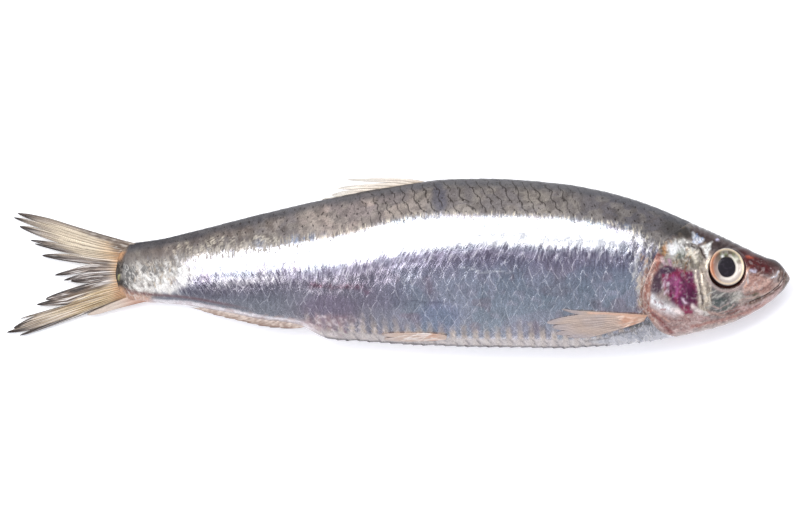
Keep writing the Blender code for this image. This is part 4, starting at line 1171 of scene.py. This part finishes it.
def paint_pelvic(canvas, ray, reach):
    canvas.wash(1, (202, 178, 162), 0.1)
    canvas.wash(0.8 * fall(0.0, 0.25, reach), (204, 184, 170))
    canvas.wash(0.6 * hump(reach - 0.22, 0.1), (206, 156, 128))
    canvas.dashes((57.0, -11.3), (4.0, 0.6), 12, 122, 2.4, 0.09, 178, (240, 230, 222), 0.1)
    canvas.wash(0.6 * rise(0.7, 1.0, reach), (204, 192, 188))


def paint_anal(canvas, ray, reach):
    s, y = canvas.exact
    below = belly(s) - y
    canvas.wash(1, (180, 160, 146), 0.4)
    canvas.wash(0.8 * fall(0.0, 0.5, below), (212, 196, 184))
    canvas.wash(0.85 * rise(0.45, 0.95, below), (126, 102, 90))
    canvas.speckle(0.4, 0.4, 0.55, 66, (226, 210, 196))
    canvas.speckle(0.5, 0.35, 0.56, 68, (140, 112, 100))


def anal_rays():
    """Borders and tips of the anal fin's rays, folded back along the belly behind the vent."""
    fin_depth = smooth_curve(ANAL_DEPTH)

    def below_belly(distance, share):
        return distance, belly(distance) - share * fin_depth(distance)

    roots = np.linspace(ANAL_START, ANAL_END, ANAL_RAYS + 1)
    borders = [((root, belly(root) + ANAL_ROOT_SUNK), below_belly(root + ANAL_BEND[0], ANAL_BEND[1]),
                below_belly(root + ANAL_PARTING[0], ANAL_PARTING[1])) for root in roots]
    tips = [below_belly(root + ANAL_TIP[0], ANAL_TIP[1]) for root in roots[:-1]]
    return borders, tips


def make_fins(material):
    median_fin("tail_fin", TAIL_BORDERS, TAIL_TIPS, paint_tail, material)
    median_fin("dorsal_fin", DORSAL_BORDERS, DORSAL_TIPS, paint_dorsal, material, 0.5)
    median_fin("anal_fin", *anal_rays(), paint_anal, material, 0.5)
    for name, side in (("right", 1), ("left", -1)):
        paired_fin(f"pectoral_fin_{name}", PECTORAL_BORDERS, PECTORAL_TIPS, paint_pectoral, material, side)
        paired_fin(f"pelvic_fin_{name}", PELVIC_BORDERS, PELVIC_TIPS, paint_pelvic, material, side)


# The eye's profile from its middle outwards and round to the back: (radius, height out of the skin).
EYE_PROFILE = [(0, 0.06), (0.7, 0.05), (1.15, 0.03), (1.34, 0.0), (1.42, -0.06), (1.6, -0.04), (2.0, 0.04),
               (2.3, 0.2), (2.45, 0.34), (2.56, 0.4), (2.67, 0.34), (2.74, 0.15), (2.8, -0.4), (2.7, -0.9),
               (2.0, -1.4), (1.0, -1.65), (0, -1.7)]
# The knot of that profile at which the eye's front ends, and the radius by which its colours are placed.
EYE_FRONT_KNOTS = 11
EYE_RADIUS = 2.6
PUPIL_RADII = (1.44, 1.6)
EYE_RADIAL_STEPS = 90
EYE_TURNS = 120
EYE_STRETCH = (1.02, 1.06)


def out_of_skin(distance, height, side):
    """(point of the skin, unit vector out of it) at a place on one flank."""
    def skin(d, h):
        return mid_plane(d) + side * flank_at(d, h)

    along = (skin(distance + 1, height) - skin(distance - 1, height)) / 2
    up = (skin(distance, height + 1) - skin(distance, height - 1)) / 2
    point = Vector((JAW_X - distance, height, skin(distance, height)))
    return point, side * Vector((along, -up, 1)).normalized()


def make_eye(name, node, side, material):
    knots = np.array(EYE_PROFILE)
    path = np.concatenate([[0], np.cumsum(np.hypot(*np.diff(knots, axis=0).T))])
    at = np.linspace(0, path[-1], EYE_RADIAL_STEPS)[1:-1]
    radius, out = np.interp(at, path, knots[:, 0]), np.interp(at, path, knots[:, 1])
    for _ in range(2):
        out[1:-1] = (out[:-2] + 2 * out[1:-1] + out[2:]) / 4
        radius[1:-1] = (radius[:-2] + 2 * radius[1:-1] + radius[2:]) / 4
    turn = np.linspace(0, 2 * math.pi, EYE_TURNS, endpoint=False)
    x = radius[:, None] * np.cos(turn) * EYE_STRETCH[0]
    y = radius[:, None] * np.sin(turn) * EYE_STRETCH[1]
    z = np.broadcast_to(out[:, None], x.shape)
    local = np.stack([x, y, z], -1).reshape(-1, 3)
    local = np.concatenate([local, [(0, 0, knots[0, 1]), (0, 0, knots[-1, 1])]])
    point, normal = out_of_skin(*EYE, side)
    across = (Vector((1, 0, 0)) - normal * normal.x).normalized()
    axes = np.array([across, normal.cross(across), normal])
    points = local @ axes + np.array(point)
    faces = tube_faces(len(radius), EYE_TURNS)
    front = np.append(np.repeat(at < path[EYE_FRONT_KNOTS], EYE_TURNS), [True, False])
    canvas = Canvas(points, JAW_X - points[:, 0], points[:, 1], 0.0)
    paint_eye(canvas, points - np.array(point), local, front)
    obj = mesh_object(name, points, faces, paint=canvas.rgb, silver=canvas.silver)
    finish_piece(obj, material, node)


def paint_eye(canvas, from_middle, local, front):
    r = np.hypot(local[:, 0] / EYE_STRETCH[0], local[:, 1] / EYE_STRETCH[1])
    x, y = from_middle[:, 0], from_middle[:, 1]
    up, tailward = y / EYE_RADIUS, -x / EYE_RADIUS
    canvas.wash(1, (190, 178, 168), 0.2)
    canvas.wash(0.9 * rise(-0.1, 0.5, up) * fall(2.3, 2.5, r), (92, 82, 58), 0.3)
    canvas.wash(0.7 * rise(0.1, 0.7, -up), (212, 199, 188), 0.2)
    canvas.wash(0.8 * rise(0.5, 0.9, tailward), (214, 136, 100), 0.2)
    canvas.speckle(0.4, 0.5, 0.5, 70, (222, 214, 204), 0.4)
    canvas.speckle(0.6 * rise(0.2, 0.6, up), 0.4, 0.5, 71, (150, 160, 120), 0.5)
    canvas.wash(0.6 * rise(0.25, 0.6, tailward) * fall(1.9, 2.2, r), (150, 126, 116), 0.2)
    canvas.wash(0.25 * hump(r - 2.2, 0.1), (130, 112, 98))
    canvas.wash(0.85 * hump(r - 2.5, 0.13), (236, 214, 176), 0.4)
    canvas.wash(0.85 * hump(r - 2.4, 0.24) * rise(0.2, 0.9, tailward), (214, 124, 82), 0.2)
    canvas.wash(rise(2.63, 2.76, r), (70, 44, 36), 0.1)
    pupil = np.hypot(local[:, 0] / PUPIL_RADII[0], local[:, 1] / PUPIL_RADII[1])
    pupil += 0.06 * (noise(canvas.points, 0.6, 72) - 0.5)
    ring = hump(pupil - 1.16, 0.1)
    canvas.wash(0.8 * ring * rise(0.3, -0.2, tailward + 0.4 * up), (250, 242, 228), 0.2)
    # Two painted highlights high on the iris, one towards the tail and one towards the snout.
    canvas.wash(0.95 * hump(np.hypot(x + 0.62, y - 1.62), 0.24), (255, 254, 248), 0.1)
    canvas.wash(0.8 * hump(np.hypot(x - 1.5, y - 1.2), 0.3), (246, 242, 220), 0.1)
    canvas.wash(0.9 * hump(np.hypot((x + 0.05) / 2, y - 1.68), 0.14), (62, 50, 40), 0.1)
    canvas.wash(fall(0.95, 1.03, pupil), (33, 28, 34), 0.0)
    canvas.speckle(0.3 * (pupil < 0.95), 0.3, 0.6, 73, (66, 58, 68), 0.0)
    canvas.wash(1.0 * ~front, (30, 16, 18), 0.0)


class Value:
    """A number inside a material. Arithmetic on it adds Math nodes."""

    def __init__(self, shader, socket):
        self.shader, self.socket = shader, socket

    def __add__(self, other):
        return self.shader.do("ADD", self, other)

    def __sub__(self, other):
        return self.shader.do("SUBTRACT", self, other)

    def __mul__(self, other):
        return self.shader.do("MULTIPLY", self, other)

    def __rsub__(self, other):
        return self.shader.do("SUBTRACT", other, self)

    __radd__, __rmul__ = __add__, __mul__


class Shader:
    """One material's nodes, with short calls that add them."""

    def __init__(self, name, **constants):
        self.material = bpy.data.materials.new(name)
        self.material.use_nodes = True
        self.tree = self.material.node_tree
        self.surface = self.tree.nodes["Principled BSDF"]
        for socket, value in constants.items():
            self.surface.inputs[socket.replace("_", " ")].default_value = value

    def node(self, kind, sockets, output=0, **settings):
        """Adds a node with values or links on its sockets, and returns one of its outputs."""
        made = self.tree.nodes.new("ShaderNode" + kind)
        for name, value in settings.items():
            setattr(made, name, value)
        for socket, value in sockets.items():
            self.plug(value, made.inputs[socket])
        return Value(self, made.outputs[output])

    def plug(self, value, socket):
        if isinstance(value, Value):
            self.tree.links.new(value.socket, socket)
        else:
            socket.default_value = value

    def set(self, **sockets):
        for socket, value in sockets.items():
            self.plug(value, self.surface.inputs[socket.replace("_", " ")])

    def do(self, operation, *values):
        return self.node("Math", dict(enumerate(values)), operation=operation)

    def step(self, low, high, value):
        """0 below low, 1 above high, and smooth between them."""
        return self.node("MapRange", {"Value": value, "From Min": low, "From Max": high},
                         interpolation_type="SMOOTHSTEP")

    def attribute(self, name, output="Fac"):
        return self.node("Attribute", {}, output, attribute_name=name)

    def parts(self, vector):
        return [self.node("SeparateXYZ", {0: vector}, i) for i in range(3)]

    def vector(self, x, y, z):
        return self.node("CombineXYZ", {0: x, 1: y, 2: z})

    def noise(self, vector, scale, detail=2.0, roughness=0.5, output="Fac"):
        sockets = {"Vector": vector, "Scale": scale, "Detail": detail, "Roughness": roughness}
        return self.node("TexNoise", sockets, output)

    def cover(self, colour, amount, upper):
        """A colour with another over it, which is a Value or a colour as a screen shows it."""
        if isinstance(upper, tuple):
            upper = (*linear(upper), 1)
        return self.node("Mix", {0: amount, 6: colour, 7: upper}, 2, data_type="RGBA")

    def tint(self, colour, amount):
        """A colour, or another vector, times a factor."""
        return self.node("VectorMath", {0: colour, "Scale": amount}, operation="SCALE")

    def bump(self, height, distance, strength=1.0, normal=None):
        sockets = {"Height": height, "Distance": distance, "Strength": strength}
        if normal is not None:
            sockets["Normal"] = normal
        return self.node("Bump", sockets)

    def place(self):
        """The place on the object, in millimetres."""
        return self.tint(self.node("TexCoord", {}, "Object"), 1 / MM)


def back_scale_marks(m, place, u, v, distance, fine, patches):
    """Each scale on the back shows its rear edge as a short dark arc, with darker ends."""
    near_row = m.do("ROUND", v)
    inside = v - near_row
    off = m.do("ABSOLUTE", inside)
    line = near_row * 0.5 + m.do("POWER", off, 2.0) * inside * 2.0 - off * off * 0.4
    phase = m.do("FLOORED_MODULO", u - line + (fine - 0.5) * 0.14, 1.0)
    from_arc = m.do("ABSOLUTE", phase - 0.5)
    arc = (1 - m.step(0.025, 0.09, from_arc)) * m.step(70.0, 62.0, distance) * m.step(29.0, 36.0, distance)
    corner = m.do("FLOOR", v) + 0.5
    across = m.do("ABSOLUTE", v - corner)
    along = m.do("ABSOLUTE", m.do("FLOORED_MODULO", u - corner * 0.5, 1.0) - 0.5)
    knot = 1 - m.step(0.5, 1.2, along * 10 + across * 5 + (fine - 0.5) * 1.5)
    arc = arc * m.step(0.3, 0.46, m.noise(place, 0.9, 2.0)) * 0.95
    return m.do("MAXIMUM", arc, knot * (0.5 + patches * 0.9))


def skin_material():
    m = Shader("wet fish skin", IOR=1.36, Coat_Roughness=0.12, Coat_IOR=1.33)
    place = m.place()
    u, v, distance = m.parts(m.attribute("scale_place", "Vector"))
    lean, height, hairy = m.parts(m.attribute("hair_place", "Vector"))
    scaly, pigment, silver = m.attribute("scaly"), m.attribute("pigment"), m.attribute("silver")
    worn = m.attribute("worn")
    margin, centre, row = scale_on_top(u, v, m.do)
    name = m.vector(centre, row, 0.0)
    luck = m.node("TexWhiteNoise", {"Vector": name}, "Value", noise_dimensions="3D")
    lean_u, lean_v, _ = m.parts(m.node("TexWhiteNoise", {"Vector": name}, "Color", noise_dimensions="3D"))
    patches = m.noise(place, 0.3, 2.0)
    fine = m.noise(place, 5.0, 3.0, 0.6)
    grain = m.noise(place, 14.0, 2.0, 0.6)
    # Hairlines that lean both ways along the net of scale edges.
    falling = m.noise(m.vector((u + v * 0.5) * 7, v * 1.3, 0.0), 1.0, 2.0, 0.6)
    rising = m.noise(m.vector((u - v * 0.5) * 7, v * 1.3, 5.0), 1.0, 2.0, 0.6)
    hair = m.do("MAXIMUM", falling, rising)
    # Longer ones hang from the bright band, painted dark and pale as the frayed edge of its reflection.
    long_hair = m.noise(m.vector(lean * 2.6, height * 0.5, 0.0), 1.0, 3.0, 0.65)
    # Fine upright streaks, and thin scratches that wander over worn skin.
    streak = m.noise(m.vector(distance * 2.6, height * 0.55, 3.0), 1.0, 3.0, 0.6)
    sheen = m.noise(m.vector(distance * 3.2, height * 0.7, 11.0), 1.0, 2.0, 0.6)
    x, y, z = m.parts(place)
    slanted = m.vector(x * 1.3 + y * 0.5, y * 0.5, z * 0.5)
    pale_scratch = 1 - m.step(0.0, 0.04, m.do("ABSOLUTE", m.noise(slanted, 1.0, 2.0, 0.5) - 0.54))
    dark_scratch = 1 - m.step(0.0, 0.06, m.do("ABSOLUTE", m.noise(slanted, 1.1, 2.0, 0.5) - 0.42))
    net = (1 - m.step(0.02, 0.14, margin + (fine - 0.5) * 0.14)) * scaly
    colour = m.attribute("paint", "Color")
    glint = m.step(0.58, 0.72, hair) * scaly
    colour = m.tint(colour, 1 + (luck - 0.5) * 0.16 * scaly + (fine - 0.5) * 0.9 + (grain - 0.5) * 1.5
                    + (glint - 0.25) * 0.42 + (streak - 0.5) * 0.9 * scaly)
    # The net of scale edges is painted pale: their own pale edges, with a painted reflection.
    net = net * m.step(0.38, 0.58, m.noise(place, 1.6, 3.0)) * m.step(0.32, 0.5, patches)
    colour = m.cover(colour, net * (0.34 + m.step(38.0, 27.0, distance) * 0.34), (216, 214, 220))
    colour = m.cover(colour, dark_scratch * worn * 0.6, (60, 52, 47))
    colour = m.cover(colour, pale_scratch * worn * 0.75, (242, 236, 226))
    # Dark and pale long hairlines below the band: painted shade and painted highlight.
    colour = m.cover(colour, m.step(0.52, 0.38, long_hair) * hairy * 0.85, (94, 87, 104))
    pale_hair_highlight = m.step(0.54, 0.66, long_hair) * hairy
    colour = m.cover(colour, pale_hair_highlight * 0.3, (244, 240, 240))
    marks = back_scale_marks(m, place, u, v, distance, fine, patches)
    skin = m.attribute("back_paint", "Color")
    skin = m.tint(skin, 1 + (luck - 0.5) * 0.2 + (fine - 0.5) * 1.1 + (grain - 0.5) + (hair - 0.55) * 0.9)
    skin = m.cover(skin, marks * 0.8 * scaly, (36, 27, 24))
    # The dark back ends in a ragged fringe, with loose dots of pigment below it.
    reach = 2.0 + m.step(58.0, 76.0, distance) * 2.5
    ragged = (pigment + (streak - 0.5) * reach * scaly + (hair - 0.55) * 2.0 + (fine - 0.5) * 1.2
              + (grain - 0.5) * 0.8)
    dark = 1 - m.do("POWER", m.step(0.9, -1.1, ragged), 1.4)
    fringe = m.do("POWER", dark * (1 - dark) * 4, 0.5) * scaly
    dots = m.step(0.67, 0.72, m.noise(place, 2.4, 1.0)) * m.step(-3.4, -0.8, pigment)
    hang = m.step(-2.2, 0.2, pigment) * m.step(68.0, 80.0, distance) * m.step(97.0, 92.0, distance)
    strands = m.step(0.55, 0.62, sheen + hang * 0.1) * m.step(0.0, 0.3, hang)
    colour = m.cover(colour, strands * 0.9, (136, 126, 116))
    colour = m.cover(colour, dark, skin)
    comb = 0.55 - m.step(68.0, 80.0, distance) * 0.38
    colour = m.cover(colour, fringe * m.step(0.53, 0.62, sheen) * comb, (232, 220, 194))
    colour = m.cover(colour, fringe * m.step(0.47, 0.38, sheen) * 0.65, (62, 56, 54))
    colour = m.cover(colour, dots * 0.7, (44, 33, 28))
    m.set(Base_Color=colour)
    m.set(Metallic=silver * (1 - net * 0.4) * (1 - pale_hair_highlight * 0.5) * (1 - dark * 0.8) * (1 - dots * 0.7)
          * (1 - strands * 0.95))
    m.set(Roughness=0.08 + luck * 0.05 + fine * 0.08 + net * 0.12 + dark * 0.25)
    m.set(Coat_Weight=(0.3 + patches * 0.3) * (1 - dark * 0.75))
    tilt = (lean_u - 0.5) * margin + (lean_v - 0.5) * (v - row)
    relief = ((1 - margin) * 0.6 + tilt * 0.8 + hair * 0.6) * scaly + (long_hair - 0.5) * hairy * 0.8
    normal = m.bump(relief, 0.05 * MM)
    normal = m.bump(fine + grain * 0.6, 0.016 * MM, 0.9, normal)
    m.set(Normal=normal)
    return m.material


def fin_material():
    m = Shader("fin membrane", IOR=1.36, Coat_Roughness=0.2)
    place = m.place()
    ray, reach, distance = m.parts(m.attribute("ray_place", "Vector"))
    strands = m.noise(m.vector(ray * 6, reach * 3, 0.0), 1.0, 3.0, 0.65)
    threads = m.noise(m.vector(ray * 5, reach * 2.5, 9.0), 1.0, 2.0, 0.6)
    strand = m.do("FLOOR", ray * 4)
    fine = m.noise(place, 4.0, 3.0, 0.6)
    wander = ray + (m.noise(place, 0.8, 1.0) - 0.5) * 0.2
    pair = m.do("ABSOLUTE", m.do("SINE", wander * (2 * math.pi)))
    four = m.do("ABSOLUTE", m.do("SINE", wander * (4 * math.pi)))
    split = m.step(0.4, 0.75, reach)
    ridge = pair + (four - pair) * split
    rayed = m.attribute("rayed")
    gap = (1 - m.step(0.08, 0.6, ridge)) * rayed
    joints = m.do("FRACT", distance * 3.0 + strand * 0.37 + fine * 0.6)
    beads = (1 - m.step(0.0, 0.35, m.do("ABSOLUTE", joints - 0.5))) * (1 - gap)
    beads = beads * m.step(0.3, 0.6, reach) * rayed
    colour = m.attribute("paint", "Color")
    streaks = (strands - 0.5) * 1.7 * m.step(0.1, 0.5, reach) * rayed
    colour = m.tint(colour, 1 + (fine - 0.5) * 0.5 + streaks)
    colour = m.cover(colour, gap * m.step(0.2, 0.5, m.noise(place, 1.2, 2.0)) * 0.75, (88, 66, 50))
    colour = m.cover(colour, beads * m.step(0.4, 0.6, strands) * 0.4, (96, 78, 64))
    ink = m.attribute("worn")
    colour = m.cover(colour, m.step(0.5, 0.57, threads) * ink * 0.8, (54, 46, 42))
    colour = m.cover(colour, m.step(0.46, 0.38, threads) * ink * 0.7, (236, 230, 224))
    m.set(Base_Color=colour)
    m.set(Roughness=0.35 + fine * 0.25)
    m.set(Coat_Weight=0.15 + fine * 0.2)
    normal = m.bump((ridge - beads * 0.3) * (0.2 + rayed * 0.8) + fine * 0.4, 0.06 * MM)
    m.set(Normal=normal)
    return m.material


def eye_material():
    m = Shader("wet eye", IOR=1.25, Coat_Roughness=0.03, Coat_IOR=1.3)
    place = m.place()
    fine = m.noise(place, 5.0, 3.0, 0.6)
    colour = m.tint(m.attribute("paint", "Color"), 1 + (fine - 0.5) * 0.4)
    m.set(Base_Color=colour)
    m.set(Metallic=m.attribute("silver"))
    m.set(Roughness=0.25 + fine * 0.3)
    m.set(Coat_Weight=0.5 + fine * 0.3)
    m.set(Normal=m.bump(fine, 0.02 * MM))
    return m.material


FLOOR_SIZE = 3.0
FLOOR_DROP = 0.00002
LENS, SENSOR = 250.0, 36.0
VIEW_CENTRE = (0.00041, -0.00047)
VIEW_WIDTH, VIEW_HEIGHT = 0.1222, 0.005
LIGHT_HEIGHT = 0.6
# Soft lights overhead: name, centre, size, turn in degrees, brightness.
SOFTBOXES = [("softbox", (0.012, 0.344), (0.56, 0.31), 25, 5.0),
             ("tail_softbox", (-0.37, 0.067), (0.35, 0.49), -28, 5.0)]
# The light of the room, from the belly's side round to the back's.
WORLD_COLOURS = [(0.0, (0.6, 0.62, 0.68, 1)), (0.25, (0.46, 0.48, 0.56, 1)), (0.5, (0.4, 0.42, 0.52, 1)),
                 (1.0, (0.52, 0.53, 0.56, 1))]


def make_floor():
    half = FLOOR_SIZE / 2
    mesh = bpy.data.meshes.new("floor")
    corners = [(-half, -half), (half, -half), (half, half), (-half, half)]
    mesh.from_pydata([(x, y, -FLOOR_DROP) for x, y in corners], [], [(0, 1, 2, 3)])
    floor = new_object("floor", mesh)
    m = Shader("white floor", Roughness=0.6, Emission_Strength=0.34)
    m.set(Base_Color=(0.92, 0.92, 0.93, 1), Emission_Color=(1, 1, 1, 1))
    mesh.materials.append(m.material)


def make_lights():
    for name, centre, size, turn, brightness in SOFTBOXES:
        data = bpy.data.lights.new(name, "AREA")
        data.shape = "RECTANGLE"
        data.size, data.size_y = size
        data.energy = brightness * math.pi * size[0] * size[1]
        softbox = new_object(name, data)
        softbox.location = (*centre, LIGHT_HEIGHT)
        softbox.rotation_euler.z = math.radians(turn)
    world = bpy.data.worlds.new("studio")
    bpy.context.scene.world = world
    world.use_nodes = True
    tree = world.node_tree
    direction = tree.nodes.new("ShaderNodeTexCoord").outputs["Generated"]
    parts = tree.nodes.new("ShaderNodeSeparateXYZ")
    tree.links.new(direction, parts.inputs[0])
    ramp = tree.nodes.new("ShaderNodeValToRGB")
    ramp.color_ramp.elements[0].color = WORLD_COLOURS[0][1]
    ramp.color_ramp.elements[1].color = WORLD_COLOURS[-1][1]
    for position, colour in WORLD_COLOURS[1:-1]:
        ramp.color_ramp.elements.new(position).color = colour
    from_front = tree.nodes.new("ShaderNodeMapRange")
    from_front.inputs["From Min"].default_value = -1
    tree.links.new(parts.outputs["Y"], from_front.inputs["Value"])
    tree.links.new(from_front.outputs[0], ramp.inputs[0])
    tree.links.new(ramp.outputs[0], tree.nodes["Background"].inputs["Color"])


def make_camera():
    data = bpy.data.cameras.new("camera")
    data.lens, data.sensor_width = LENS, SENSOR
    camera = new_object("camera", data)
    camera.location = (*VIEW_CENTRE, VIEW_HEIGHT + VIEW_WIDTH * LENS / SENSOR)
    bpy.context.scene.camera = camera
    bpy.context.scene.view_settings.view_transform = "Standard"


def main():
    make_camera()
    make_floor()
    make_lights()
    skin = skin_material()
    make_head(skin)
    make_trunk(skin)
    make_fins(fin_material())
    eye = eye_material()
    make_eye("eyeball_right", "eye_right", 1, eye)
    make_eye("eyeball_left", "eye_left", -1, eye)


main()
